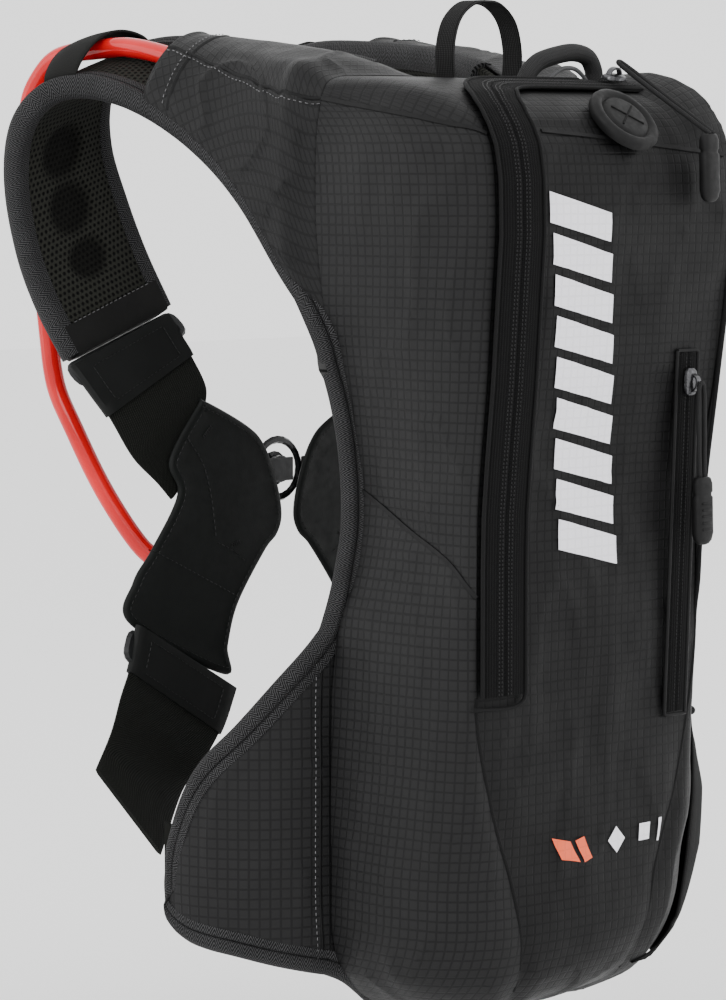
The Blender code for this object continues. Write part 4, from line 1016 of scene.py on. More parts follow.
def make_wing(M, side, label):
    """A hip wing: ripstop outside, mesh inside, thin padding between."""
    rows = wing_edges()
    rows = rows[np.concatenate([[True], np.diff(rows[:, 0]) > 1e-5])]
    rows = np.vstack([[0.0640, rows[0, 1], -0.2330], [0.0720, rows[0, 1], -0.2300], rows])
    cols = 40
    outer, inner, uv_out = [], [], []
    for s, top, low in rows:
        z = np.linspace(top, low, cols)
        edge = np.minimum(top - z, z - low)
        rim = np.sqrt(np.clip(edge / 0.010, 0, 1))
        ahead = np.clip((0.174 - s) / 0.010, 0, 1) ** 0.5
        puff = 0.35 + 0.65 * rim * max(ahead, 0.35)
        outer.append([wing_out(s, zz, WING_T / 2 * p + 0.0008 * p) for zz, p in zip(z, puff)])
        inner.append([wing_out(s, zz, -WING_T / 2 * p - 0.0010 * p) for zz, p in zip(z, puff)])
        uv_out.append([(-s - 0.06, zz) for zz in z])
    outer, inner = np.array(outer), np.array(inner)
    m, n = outer.shape[:2]
    flat = outer.reshape(-1, 3)
    normals = np.array([wing_normal(s) for s in rows[:, 0]]).repeat(n, 0)
    crease = np.abs(bumps(flat, 0.036, 1.0, 41.0 + side, (0.7, 0.7, 0.6)))
    start = np.clip((rows[:, 0] - 0.0815) / 0.012, 0, 1).repeat(n)
    lift = bumps(flat, 0.05, 0.0016, 43.0) + np.exp(-(crease / 0.06) ** 2) * 0.0009 + bumps(flat, 0.011, 0.0003, 47.0)
    edge_z = np.minimum(np.arange(n), np.arange(n)[::-1])[None, :].repeat(m, 0).reshape(-1)
    outer = (flat + normals * (lift * start * np.clip(edge_z / 4, 0, 1))[:, None]).reshape(outer.shape)
    return shell(f"wing_cloth_{label}", (mirror_line(outer, side), mirror_line(inner, side)), uv_out,
                 [M["side"], M["back_mesh"]], None, side < 0, side > 0)


# ---------------------------------------------------------------- bindings
def binding_profile(h, wide):
    """Tape folded over an edge h thick each way, with the stitched groove on its outer face."""
    return [(-wide, h - 0.0002), (-wide + 0.0006, h + 0.0011), (-wide + 0.0022, h + 0.0015), (-0.0066, h + 0.0014),
            (-0.0060, h + 0.0002), (-0.0054, h + 0.0015), (-0.0035, h + 0.0022), (-0.0012, h + 0.0018),
            (0.0008, h * 0.8 + 0.0006), (0.0019, h * 0.35), (0.0020, -h * 0.35), (0.0008, -h * 0.85),
            (-0.0015, -h - 0.0012), (-0.0060, -h - 0.0012), (-0.0085, -h - 0.0003), (-0.0085, -h + 0.0014)]


def edge_run(points, normals, inward, heights, name, mat, wide=0.0112):
    """Binding along an edge. normals point out of the outer face, inward points into the panel."""
    rings = []
    for p, n, inn, h in zip(points, normals, inward, heights):
        n = unit(n)
        out = -unit(inn - n * np.dot(inn, n))
        rings.append([p + out * a + n * b for a, b in binding_profile(h, wide)])
    return ring_loft(name, rings, mat)


def left_edge_path():
    """The long bound edge of the left side: strap end, arm hole, wing, and the bag's bottom middle."""
    a, b, n = band_frames(STRAP_EDGES, 6)
    table = []

    def add(point, normal, inward, height):
        table.append(np.hstack([point, normal, inward, height]))

    for i in range(len(a) - 1, 2, -1):
        add(a[i], n[i], unit(b[i] - a[i]), STRAP_T / 2)
    for p in ((-0.0950, -0.0035, 0.0800), (-0.0900, -0.0042, 0.0660), (-0.0843, -0.0045, 0.0500),
              (-0.0797, -0.0045, 0.0320), (-0.0772, -0.0045, 0.0140), (-0.0765, -0.0045, 0.0000),
              (-0.0772, -0.0045, -0.0140), (-0.0805, -0.0045, -0.0290), (-0.0845, -0.0043, -0.0440)):
        add(p, (-0.62, -0.78, 0.0), (0.75, -0.30, 0.0), 0.0034)
    wing = wing_edges()
    ds = 0.001
    for s, top, _ in wing[5:-2]:
        slope = np.interp(s + ds, wing[:, 0], wing[:, 1]) - np.interp(s - ds, wing[:, 0], wing[:, 1])
        tangent = unit(wing_out(s + ds, 0, 0) - wing_out(s - ds, 0, 0) + np.array([0, 0, slope]))
        into = unit(np.cross(tangent, wing_normal(s)))
        add(wing_out(s, top, 0), wing_normal(s), into if into[2] < 0 else -into, WING_T / 2)
    tip, top, low = wing[-1]
    for s, z, into in ((tip - 0.0010, top - 0.0005, (-0.6, -0.8)), (tip, (top + low) / 2, (-1.0, 0.0)),
                       (tip - 0.0010, low + 0.0005, (-0.6, 0.8))):
        along = unit(wing_out(s + ds, 0, 0) - wing_out(s - ds, 0, 0))
        add(wing_out(s, z, 0), wing_normal(tip), along * into[0] + np.array([0, 0, into[1]]), WING_T / 2)
    for s, _, low in wing[-3:4:-1]:
        add(wing_out(s, low, 0), wing_normal(s), (0, 0, 1.0), WING_T / 2)
    for p in ((-0.0800, -0.0065, -0.2290), (-0.0690, -0.0065, -0.2370), (-0.0570, -0.0065, -0.2465),
              (-0.0440, -0.0065, -0.2525), (-0.0250, -0.0065, -0.2547), (0.0000, -0.0065, -0.2551)):
        add(p, (0.0, -1.0, -0.15), (0.15, 0, 1.0), 0.0030)
    ends = np.array([table[0], *table, table[-1]])[:, 3:]
    table = np.array(table)
    table[:, 3:] = (ends[:-2] + 2 * ends[1:-1] + ends[2:]) / 4
    table = curve(table, 3)
    at = spread(table[:, :3])
    return read_at(np.linspace(0, at[-1], int(at[-1] / 0.0024)), at, table)


def make_bindings(M, side, label):
    table = left_edge_path()
    pts, nrm, inn = (mirror_line(table[:, k:k + 3], side) for k in (0, 3, 6))
    run = edge_run(pts, nrm, inn, table[:, 9], f"edge_binding_{label}", M["binding"])
    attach(run, "pack")
    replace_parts(run, f"strap_binding_outer_{label}", f"wing_binding_{label}")
    a, b, n = band_frames(STRAP_EDGES, 6)
    edge, up, into = (mirror_line(x[5:], side) for x in (b, n, unit(a - b)))
    inner = edge_run(edge, up, into, [STRAP_T / 2] * len(edge), f"strap_inner_binding_{label}", M["binding"], 0.0085)
    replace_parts(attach(inner, "pack"), f"strap_binding_inner_{label}")


# ---------------------------------------------------------------- straps
def strap_section(h, crown, t):
    """Half thickness of the pad over its width."""
    edge = np.minimum(t, 1 - t)
    return h * np.sqrt(np.clip(edge / 0.10, 0.12, 1)) + crown * np.sin(np.pi * t) ** 0.8


def make_strap(M, side, label):
    """A padded strap: spacer mesh over foam, with three ventilation pits on its body side."""
    per, cols = 12, 44
    a, b, n = band_frames(STRAP_EDGES, per)
    t = np.linspace(0.0, 1.0, cols)
    pits = [(7.72, 0.47, 0.50, 0.20), (8.72, 0.48, 0.42, 0.19), (9.62, 0.50, 0.34, 0.17)]
    outer, inner, deep, uv = [], [], [], []
    mid = spread((a + b) / 2)
    for i, (p, q, up) in enumerate(zip(a, b, n)):
        end = min(i / per * 1.2, (len(a) - 1 - i) / per * 2.2, 1.0)
        half = strap_section(STRAP_T / 2 - 0.0008, 0.0016, t) * (0.55 + 0.45 * end ** 0.5)
        pit = np.zeros(cols)
        for where, share, long, wide in pits:
            r = np.sqrt(((i / per - where) / long) ** 2 + ((t - share) / wide) ** 2)
            pit = np.maximum(pit, np.clip((1.15 - r) / 0.35, 0, 1))
        base = p + (q - p) * t[:, None]
        outer.append(base + up * half[:, None])
        inner.append(base - up * (half - 0.0022 * pit)[:, None])
        # deep: the pit mask, which the mesh colour uses as painted shade in the pits
        deep.append(pit)
        uv.append([(x * np.linalg.norm(q - p), mid[i]) for x in t])
    inner = np.array(inner)
    flat = inner.reshape(-1, 3)
    inner = (flat + bumps(flat, 0.03, 0.0006, 51.0)[:, None] * n.repeat(cols, 0)).reshape(inner.shape)
    obj = shell(f"strap_pad_{label}", (mirror_line(outer, side), mirror_line(inner, side)), uv, [M["mesh"]],
                (np.zeros(np.shape(deep)), deep))
    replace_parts(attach(obj, "pack"), f"strap_{label}")
    end_tab(M, a, b, n, side, label)


def end_tab(M, a, b, n, side, label):
    """The bound lower end of the strap: a smooth band folded over the pad's end, with a stitch line."""
    last = len(a) - 1
    rings = [strip_ring(a[k], b[k], n[k], STRAP_T / 2 + 0.0012, 0.003, 0.0010, 0.3, (0.5,))
             for k in (last - 6, last - 5, last - 3, last - 1, last)]
    end = unit(rings[-1][0] - rings[-2][0])
    rim = np.array(rings[-1])
    centre = rim.mean(0)
    rings += [centre + (rim - centre) * 0.97 + end * 0.0012, centre + (rim - centre) * 0.80 + end * 0.0018]
    tab = ring_loft(f"strap_end_{label}", mirror_line(rings, side), M["coated_band"])
    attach(tab, "pack")
    p, q, up = (x[last - 6] for x in (a, b, n))
    line = mirror_line([p + (q - p) * t - up * (STRAP_T / 2 + 0.0022) for t in np.linspace(0.12, 0.88, 30)], side)
    stitch = sewn(f"strap_end_stitch_{label}", line, mirror_line([-up] * len(line), side), M["thread_grey"])
    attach(stitch, "pack")


# ---------------------------------------------------------------- chest panels, elastics and loops
def rounded_outline(points, step=0.0022):
    p = np.array(points, float)
    closed = np.vstack([p[-2:], p, p[:2]])
    full = curve(closed, 10)
    start, end = 20, 20 + len(p) * 10
    loop = full[start:end + 1]
    return even(np.hstack([loop, np.zeros((len(loop), 1))]), step)[:-1, :2]


def inset(outline, by):
    """The outline moved inward by a distance."""
    nxt, prv = np.roll(outline, -1, 0), np.roll(outline, 1, 0)
    along = unit(nxt - prv)
    out = np.stack([along[:, 1], -along[:, 0]], axis=1)
    area = np.sum(outline[:, 0] * nxt[:, 1] - nxt[:, 0] * outline[:, 1])
    if area < 0:
        out = -out
    return outline - out * by


def chest_shape(side):
    loop = rounded_outline(CHEST_OUTLINE)
    if side > 0:
        loop = loop * np.array([-1, 1])
    return loop


def filled(outline, step):
    """An outline's inside as small triangles: the outline's own points first, then a grid of inner ones."""
    ring = [Vector((float(x), float(y))) for x, y in outline]
    low, high = outline.min(0), outline.max(0)
    near_edge = inset(outline, step * 0.6)
    inner = [Vector((x, y)) for x in np.arange(low[0], high[0], step) for y in np.arange(low[1], high[1], step)
             if inside(near_edge, x, y)]
    edges = [(i, (i + 1) % len(ring)) for i in range(len(ring))]
    pts, _, tris, _, _, _ = geometry.delaunay_2d_cdt(ring + inner, edges, [], 1, 1e-7)
    return np.array([(q.x, q.y) for q in pts]), [tuple(t) for t in tris]


def inside(outline, x, y):
    a, b = outline, np.roll(outline, -1, 0)
    cross = (a[:, 1] > y) != (b[:, 1] > y)
    with np.errstate(divide="ignore", invalid="ignore"):
        at = (b[:, 0] - a[:, 0]) * (y - a[:, 1]) / (b[:, 1] - a[:, 1]) + a[:, 0]
    return bool(np.sum(cross & (x < at)) % 2)


def make_chest(M, side, label):
    """A chest panel: two layers of coated fabric over thin foam, sewn all round."""
    loop = chest_shape(side)
    half, thin = 0.0017, 0.0016
    rim = [(0.0045, -thin), (0.0032, -half - 0.0001), (0.0015, -thin), (0.0004, -half * 0.55)]
    section = [*rim, (0.0, 0.0), *((by, -y) for by, y in rim[::-1])]
    n = len(loop)
    points = np.vstack([[(x, CHEST_Y + y, z) for x, z in inset(loop, by)] for by, y in section])
    faces = grid_faces(len(section), n, close_v=True)
    flat, flat_faces = filled(inset(loop, 0.0045), 0.006)
    for first, y in ((0, -thin), (len(points) - n, thin)):
        base = len(points) - n
        points = np.vstack([points, [(x, CHEST_Y + y, z) for x, z in flat[n:]]])
        faces += [tuple((first if v < n else base) + v for v in f) for f in flat_faces]
    obj = new_object(f"chest_pad_{label}", points, faces, M["coated"])
    mend(obj.data)
    obj.data.set_sharp_from_angle(angle=math.radians(40))
    body = "pack" if side < 0 else "chest_right"
    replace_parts(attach(obj, body), f"chest_panel_{label}")
    out = np.array([-side, 1])
    seams = [[(-0.0706, 0.0257), (-0.0602, 0.0122), (-0.0546, -0.0050), (-0.0511, -0.0279)],
             [(-0.0511, -0.0279), (-0.0400, -0.0330), (-0.0300, -0.0400)],
             [(-0.0950, -0.0287), (-0.0650, -0.0430), (-0.0358, -0.0570)]]
    border = inset(loop, 0.0036)
    lines = [(np.vstack([border, border[:1]]), BORDER_STITCH)]
    lines += [(even(curve(np.array(seam) * out, 8), 0.003), BORDER_STITCH) for seam in seams]
    for ends in (((-0.0602, 0.0251), (-0.0539, 0.0311)), ((-0.0414, -0.0305), (-0.0340, -0.0285))):
        p, q = np.array(ends) * out
        beside = unit(np.array([p[1] - q[1], q[0] - p[0]]))
        lines += [(np.linspace(p, q, 8) + beside * off, (0.0011, 0.0002, 0.0006, 0.0005))
                  for off in (-0.0007, 0.0, 0.0007)]
    pieces = []
    for face in (-1, 1):
        for path, sizes in lines:
            line = np.array([(x, CHEST_Y + face * (half + 0.00002), z) for x, z in path])
            pieces.append(sewn("stitch", line, np.array([[0.0, face, 0.0]] * len(line)), M["thread_dark"], *sizes))
    stitches = join(f"chest_stitches_{label}", pieces)
    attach(stitches, body)


def ribbed_band(name, frames, mat, thick=0.0023, trim=0.0, lift=0.0, cols=24):
    """Flat elastic: a band with rounded selvedges."""
    t = np.linspace(0, 1, cols)[:, None]
    half = thick / 2 * np.sqrt(np.clip(np.minimum(t, 1 - t) / 0.04, 0.15, 1))
    rings = []
    for a, b, n in zip(*frames):
        across = unit(b - a)
        p, q = a + across * trim, b - across * trim
        base = p + (q - p) * t + n * lift
        rings.append(np.vstack([base + n * half, (base - n * half)[::-1]]))
    return ring_loft(name, rings, mat)


def frames_for(edges, per, side):
    a, b, n = band_frames(edges, per)
    return tuple(mirror_line(x, side) for x in (a, b, n))


def strip_ring(p, q, n, h, margin, crown, corner, shares):
    """A flat strip's rounded section from p to q, h thick each way along n."""
    across = unit(q - p) * margin
    half = [(p + across, h), *((p + (q - p) * t, h + crown) for t in shares), (q - across, h), (q, h * corner)]
    return [*(at + n * up for at, up in half), *(at - n * up for at, up in half[::-1]),
            p - n * h * corner, p + n * h * corner]


def rubber_end(M, name, frames, end, body, swell=0.0016):
    """A moulded or coated end folded over a band's end, with a stitched rectangle on both faces."""
    a, b, n = frames
    edge, rings = 0.0012, []
    for j in range(9):
        k = end * j / 8
        p, q = between(a, k), between(b, k)
        over = unit(q - p) * edge
        h = edge + swell * (0.75 if j in (0, 8) else 1.0)
        rings.append(strip_ring(p - over, q + over, unit(between(n, k)), h, edge, 0.0002, 0.4,
                                (0.1, 0.3, 0.5, 0.7, 0.9)))
    tab = ring_loft(name, rings, M["tab"])
    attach(tab, body)
    pieces = []
    for face in (-1, 1):
        for u0, v0, u1, v1 in ((0.16, 0.12, 0.16, 0.88), (0.84, 0.12, 0.84, 0.88), (0.16, 0.12, 0.84, 0.12),
                               (0.16, 0.88, 0.84, 0.88)):
            line, up = [], []
            for u, v in zip(np.linspace(u0, u1, 24), np.linspace(v0, v1, 24)):
                up.append(unit(between(n, end * u)) * face)
                p, q = between(a, end * u), between(b, end * u)
                line.append(p + (q - p) * v + up[-1] * (edge + swell + 0.0003))
            pieces.append(sewn("tab_line", np.array(line), np.array(up), M["thread_dark"],
                               0.0019, 0.0009, 0.0005, 0.0003))
    stitches = join(name + "_stitches", pieces)
    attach(stitches, body)


def make_elastics(M, side, label):
    upper, lower = frames_for(UPPER_ELASTIC, 8, side), frames_for(LOWER_ELASTIC, 8, side)
    obj = ribbed_band(f"upper_band_{label}", [x[8:] for x in upper], M["elastic"])
    if side > 0:
        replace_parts(obj, "upper_elastic_right", "chest_elastic_right")
        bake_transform(obj)
    else:
        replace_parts(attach(obj, "pack"), "upper_elastic_left")
    rubber_end(M, f"upper_tab_{label}", upper, 15.5, "pack")
    obj = ribbed_band(f"lower_band_{label}", [x[6:] for x in lower], M["elastic"])
    if side > 0:
        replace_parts(obj, "lower_elastic_right", "chest_lower_elastic_right")
        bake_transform(obj)
    else:
        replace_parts(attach(obj, "pack"), "lower_elastic_left")
    rubber_end(M, f"lower_tab_{label}", lower, 9.5, "chest_right" if side > 0 else "pack", 0.0010)
    hook = ribbed_band(f"hook_pad_{label}", [x[22:29] for x in lower], M["fuzz"], 0.0018, 0.006, 0.0030)
    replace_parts(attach(hook, "pack"), f"hook_strip_{label}")


# ---------------------------------------------------------------- seams, piping and zips
def lay_on(tree, line, lift=0.0):
    """A line laid on the cloth from straight in front of it."""
    where, normals = [], []
    for p in line:
        hit = tree.ray_cast(Vector((p[0], -0.16, p[2])), Vector((0, 1, 0)))
        if hit[0] is None:
            hit = tree.find_nearest(Vector(p))
        n = Vector(hit[1])
        n = n if n.y < 0 else -n
        where.append(np.array(hit[0] + n * lift))
        normals.append(np.array(n))
    return np.array(where), np.array(normals)


def smooth_line(line, rounds=2):
    line = np.array(line, float)
    for _ in range(rounds):
        inner = (line[:-2] + 2 * line[1:-1] + line[2:]) / 4
        line = np.vstack([line[:1], inner, line[-1:]])
    return line


def seam_on(M, name, tree, line, offset=0.0030, thread_mat="thread_grey", ridge=True, lift=0.0006, body="pack"):
    """A lapped seam: a fold, a painted shadow line beside it (a thin near-black strip), and stitches beside it."""
    where, normal = snap(tree, line, 0.0)
    where, normal = smooth_line(where, 3), unit(smooth_line(normal, 6))
    keep = even(np.hstack([where, normal]), 0.0022)
    where, normal = keep[:, :3], unit(keep[:, 3:])
    along = unit(np.gradient(where, axis=0))
    beside = np.cross(along, normal)
    pieces = []
    if ridge:
        profile = [(-0.0012, -0.0006), (-0.0006, 0.0003), (0.0003, 0.0006), (0.0007, 0.0002), (0.0008, -0.0006)]
        pieces.append(sweep("fold", where, normal, profile, M["fold"]))
        # painted shadow: a thin near-black strip beside the fold
        pieces.append(sweep("shade", where - beside * 0.0011, normal,
                            [(-0.0004, -0.0003), (0.0, 0.00012), (0.0004, -0.0003)], M["gap_shade"]))
    side_line, side_normal = snap(tree, where + beside * offset, lift)
    side_line, side_normal = smooth_line(side_line, 2), unit(smooth_line(side_normal, 4))
    pieces.append(sewn("stitch", side_line, side_normal, M[thread_mat], *STITCH))
    obj = join(name, pieces)
    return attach(obj, body)


def front_tube(M, name, tree, line, radius=0.0015, sink=0.3, mat="piping"):
    """Piping sewn into a seam of the bag's front."""
    where = smooth_line(snap(tree, line, radius * (1 - sink))[0], 3)
    obj = round_tube(name, even(where, 0.0020), radius, M[mat], 12)
    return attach(obj, "pack")


def zip_centre():
    """(x, distance up the front, half width) along the main zip, from its low end over the top."""
    made = [(ZIP_X, -0.085 + 0.0145 * k, 0.0136) for k in range(19)]
    low = made[-1][1]
    for k in range(1, 6):
        turn = math.radians(90 * k / 5)
        made.append((ZIP_X + 0.040 * (1 - math.cos(turn)), low + (0.2209 - low) * math.sin(turn),
                     0.0136 - 0.0036 * k / 5))
    made += [(made[-1][0] + 0.0175 * k, 0.2209, 0.0100) for k in range(1, 6)]
    return curve(made, 6)


def front_table():
    rows = [(-d, z) for z, _, _, d, _ in reversed(BAG_SECTIONS) if z > -0.21]
    p = np.array(rows)
    u = spread(p)
    u -= np.interp(0.0, p[:, 1], u)
    return u, p[:, 0], p[:, 1]


def on_front(x, u, lift):
    us, ys, zs = front_table()
    i = int(np.clip(np.searchsorted(us, u) - 1, 0, len(us) - 2))
    t = (u - us[i]) / (us[i + 1] - us[i])
    out = unit(np.array([0, zs[i] - zs[i + 1], ys[i + 1] - ys[i]]))
    lo, hi = max(i - 1, 0), min(i + 2, len(us) - 1)
    soft = unit(np.array([0, zs[lo] - zs[hi], ys[hi] - ys[lo]]))
    crown = 0.003 * max(1 - (x / 0.085) ** 2, 0) * min(max((0.2159 - u) / 0.015, 0), 1)
    point = np.array([x, ys[i] + (ys[i + 1] - ys[i]) * t, zs[i] + (zs[i + 1] - zs[i]) * t])
    return point + out * (lift + crown), soft


def zip_rows(line, way_at, lift):
    """Points and normals at a sideways distance from each of the zip's points, laid on the front."""
    ends = np.vstack([line[:1], line, line[-1:]])[:, :2]
    return np.array([np.hstack(on_front(x + run[1] * way, u - run[0] * way, lift)) for (x, u, _), run, way
                     in zip(line, unit(ends[2:] - ends[:-2]), way_at)])


def make_zips(M, tree):
    line = zip_centre()
    half = line[:, 2]
    edges = [-1.0, -0.93, -0.60, -0.20, -0.05, 0.0, 0.05, 0.20, 0.60, 0.93, 1.0]
    lifts = [0.0010, 0.0024, 0.0026, 0.0028, 0.0030, 0.0016, 0.0030, 0.0028, 0.0026, 0.0024, 0.0010]
    pts = np.stack([zip_rows(line, off * half, lift)[:, :3] for off, lift in zip(edges, lifts)], axis=1)
    at = spread(line[:, :2])[:, None]
    uvs = np.dstack([half[:, None] * edges, at + np.zeros(len(edges))])
    tape = skin("main_zip_band", pts, uvs, M["tape"], flip=True)
    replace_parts(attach(tape, "pack"), "main_zip_tape")
    pieces = []
    for share in (-0.29, -0.15, 0.15, 0.29):
        row = even(zip_rows(line, share * 0.0136 + half * 0, 0.0030), 0.002)
        pieces.append(sewn("zip_stitch", row[:, :3], unit(row[:, 3:]), M["coil"], 0.0012, 0.0007, 0.0006, 0.00045))
    coil = join("main_zip_coil", pieces)
    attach(coil, "pack")
    for name, share, away in (("left", -1.02, -0.0030), ("right", 1.04, 0.0030)):
        row = zip_rows(line, share * half, 0.0022)[:-10]
        if name == "right":
            tail = [(-0.032, 0.0024, -0.0050), (-0.018, 0.0014, -0.0060), (-0.006, 0.0006, -0.0062),
                    (-0.0008, 0, -0.0035)]
            row = np.vstack([[row[0] + np.array([*p, 0, 0, 0]) for p in tail], row])
        row = curve(row, 2)
        pts, up = smooth_line(row[:, :3], 3), unit(row[:, 3:])
        pipe = round_tube(f"zip_piping_{name}", even(pts, 0.002), 0.0010, M["piping"], 12)
        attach(pipe, "pack")
        beside = np.cross(unit(np.gradient(pts, axis=0)), up) * away
        where, normal = snap(tree, pts + beside - up * 0.0012, 0.0007)
        st = sewn(f"zip_piping_stitch_{name}", smooth_line(where, 2), unit(smooth_line(normal, 3)), M["thread_grey"],
                  0.0017, 0.0012, 0.0005, 0.00035)
        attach(st, "pack")
    pocket_zip(M)


def pocket_zip(M):
    """The straight zip of the front pocket: its band, two rows of teeth and the lip round it."""
    hi, lo = (on_front(0.0600, u, 0.0012)[0] for u in (0.072, -0.104))
    n = 60
    section = [(-0.0066, 0.0001), (-0.0060, 0.0012), (-0.0030, 0.0013), (-0.0006, 0.0015), (0.0, 0.0008),
               (0.0006, 0.0015), (0.0030, 0.0013), (0.0060, 0.0012), (0.0066, 0.0001)]
    pts = np.array([[hi + (lo - hi) * i / n + np.array([x, -up, 0]) for x, up in section] for i in range(n + 1)])
    uvs = np.array([[(x, i * 0.003) for x, _ in section] for i in range(n + 1)])
    tape = skin("pocket_zip_band", pts, uvs, M["tape"])
    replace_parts(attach(tape, "pack"), "pocket_zip_tape")
    pieces = []
    for x in (-0.0016, 0.0016):
        row = np.array([hi + (lo - hi) * t + np.array([x, -0.0014, 0]) for t in np.linspace(0.01, 0.99, 100)])
        pieces.append(sewn("coil", row, np.repeat([[0, -1.0, 0]], 100, 0), M["coil"], 0.0012, 0.0007, 0.0006, 0.0004))
    coil = join("pocket_zip_coil", pieces)
    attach(coil, "pack")
    corners = ((-0.0076, -0.006), (0.0076, -0.006), (0.0076, 1.01), (-0.0076, 1.01), (-0.0076, -0.006))
    frame_line = np.array([hi + (lo - hi) * t + np.array([x, -0.0006, 0]) for x, t in corners])
    lip = round_tube("pocket_zip_lip", even(frame_line, 0.002), 0.0010, M["fold"], 8)
    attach(lip, "pack")


def axes(run, out):
    """Three directions at right angles: along run, across it, and out as near to the given one as can be."""
    across = unit(np.cross(unit(run), unit(out)))
    return unit(run), across, np.cross(across, unit(run))


def loft_profile(name, centre, run, out, profile, mat, sides=24, body="pack"):
    """Superellipse rings along a direction: (along, half across, half deep, squareness)."""
    run, across, out = axes(run, out)
    turns = [(math.cos(math.tau * k / sides), math.sin(math.tau * k / sides)) for k in range(sides)]
    rings = [[centre + run * along + across * half * math.copysign(abs(c) ** power, c)
              + out * deep * math.copysign(abs(s) ** power, s) for c, s in turns]
             for along, half, deep, power in profile]
    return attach(ring_loft(name, rings, mat), body)


def make_slider(M, name, node, centre, run, out, body):
    """A zip slider with its bridge."""
    run, across, out = axes(run, out)
    corners = ((-1, 0.12), (-0.9, 0.75), (-0.55, 1.0), (0.55, 1.0), (0.9, 0.75), (1, 0.12), (0.8, 0), (-0.8, 0))
    rings = [[centre + run * x + across * a * half + out * (b * high + 0.0001) for a, b in corners]
             for x, half, high in ((-0.0068, 0.0022, 0.0016), (-0.0060, 0.0032, 0.0026), (-0.0030, 0.0040, 0.0031),
                                   (0.0015, 0.0044, 0.0032), (0.0050, 0.0036, 0.0028), (0.0066, 0.0024, 0.0018))]
    arch = ((-0.0048, 0.0026), (-0.0034, 0.0050), (-0.0008, 0.0060), (0.0020, 0.0056), (0.0038, 0.0026))
    line = curve([centre + run * x + out * y for x, y in arch], 5)
    bridge = sweep("slider_bridge", line, np.repeat([across], len(line), 0),
                   [(-0.0005, -0.0015), (0.0005, -0.0015), (0.0005, 0.0015), (-0.0005, 0.0015)], M["metal"])
    obj = join(name, [ring_loft("slider_part", rings, M["metal"]), bridge])
    bevel = obj.modifiers.new("edge", "BEVEL")
    bevel.width, bevel.segments, bevel.limit_method = 0.0003, 2, "ANGLE"
    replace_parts(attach(obj, body), node)


def make_pull(M, label, top, down, out, length, body, tab_down=None):
    """A doubled cord through the slider's bridge, and a moulded tab at its end."""
    down, out = unit(down), unit(out)
    across = np.cross(down, out)
    wide, leg = 0.0019, length + 0.002
    sides = [(leg, 0.8), (leg * 0.5, 1.15), (0.004, 1), (-0.0006, 0), (0.004, -1), (leg * 0.5, -1.1), (leg, -0.8)]
    loop = [top + down * d + across * wide * w + out * (0.0 if w else 0.0002) for d, w in sides]
    cord = round_tube(f"{label}_pull_cord", even(curve(loop, 8), 0.0008), 0.00115, M["cord"], 10)
    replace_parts(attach(cord, body), f"{label}_zip_cord")
    start = top + down * length
    if tab_down is not None:
        down = unit(tab_down)
        out = np.cross(down, across)
        start = start + down * 0.0012
    profile = [(0.0, 0.0044, 0.0020, 0.8), (0.0006, 0.0052, 0.0026, 0.75), (0.0030, 0.0060, 0.0031, 0.7),
               (0.0070, 0.0061, 0.0032, 0.7), (0.0078, 0.0056, 0.0026, 0.7), (0.0090, 0.0056, 0.0026, 0.7),
               (0.0098, 0.0061, 0.0033, 0.7), (0.0200, 0.0061, 0.0034, 0.7), (0.0270, 0.0062, 0.0034, 0.7),
               (0.0305, 0.0054, 0.0029, 0.8), (0.0322, 0.0038, 0.0020, 0.9), (0.0328, 0.0018, 0.0010, 1.0)]
    tab = loft_profile(f"{label}_pull_tab", start, down, out, profile, M["rubber"], 28, body)
    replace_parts(tab, f"{label}_zip_tab")
    bar = [(0.0, 0.0003, 0.0002, 1), (0.0006, 0.0007, 0.0005, 1), (0.0066, 0.0007, 0.0005, 1),
           (0.0072, 0.0003, 0.0002, 1)]
    corner = start + out * 0.00325 - across * 0.0036
    bars = [loft_profile("bar", corner + down * (0.0125 + 0.0032 * k), across, out, bar, M["rubber"], 10)
            for k in range(5)]
    grip = join(f"{label}_pull_grip", bars)
    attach(grip, body)


def make_sliders(M):
    centre, out = np.array([0.0500, -0.06244, 0.20286]), np.array([0.0, -0.2253, 0.9743])
    make_slider(M, "main_slider_body", "main_zip_slider", centre, (1.0, 0, 0), out, "main_slider")
    make_pull(M, "main", centre + out * 0.0088 + np.array([0.0020, 0, 0]), (0.1317, -0.8248, -0.5499), (0, -0.55, 0.82),
              0.0607, "main_pull", (0.0, -0.03, -1.0))
    centre, out = np.array([0.060, -0.10299, 0.05753]), (0, -1.0, 0)
    make_slider(M, "pocket_slider_body", "pocket_zip_slider", centre, (0.0, -0.03888, 0.99924), out, "pocket_slider")
    make_pull(M, "pocket", centre + np.array([0, -0.0080, -0.0010]), (0, -0.02, -1.0), out, 0.045, "pocket_pull")


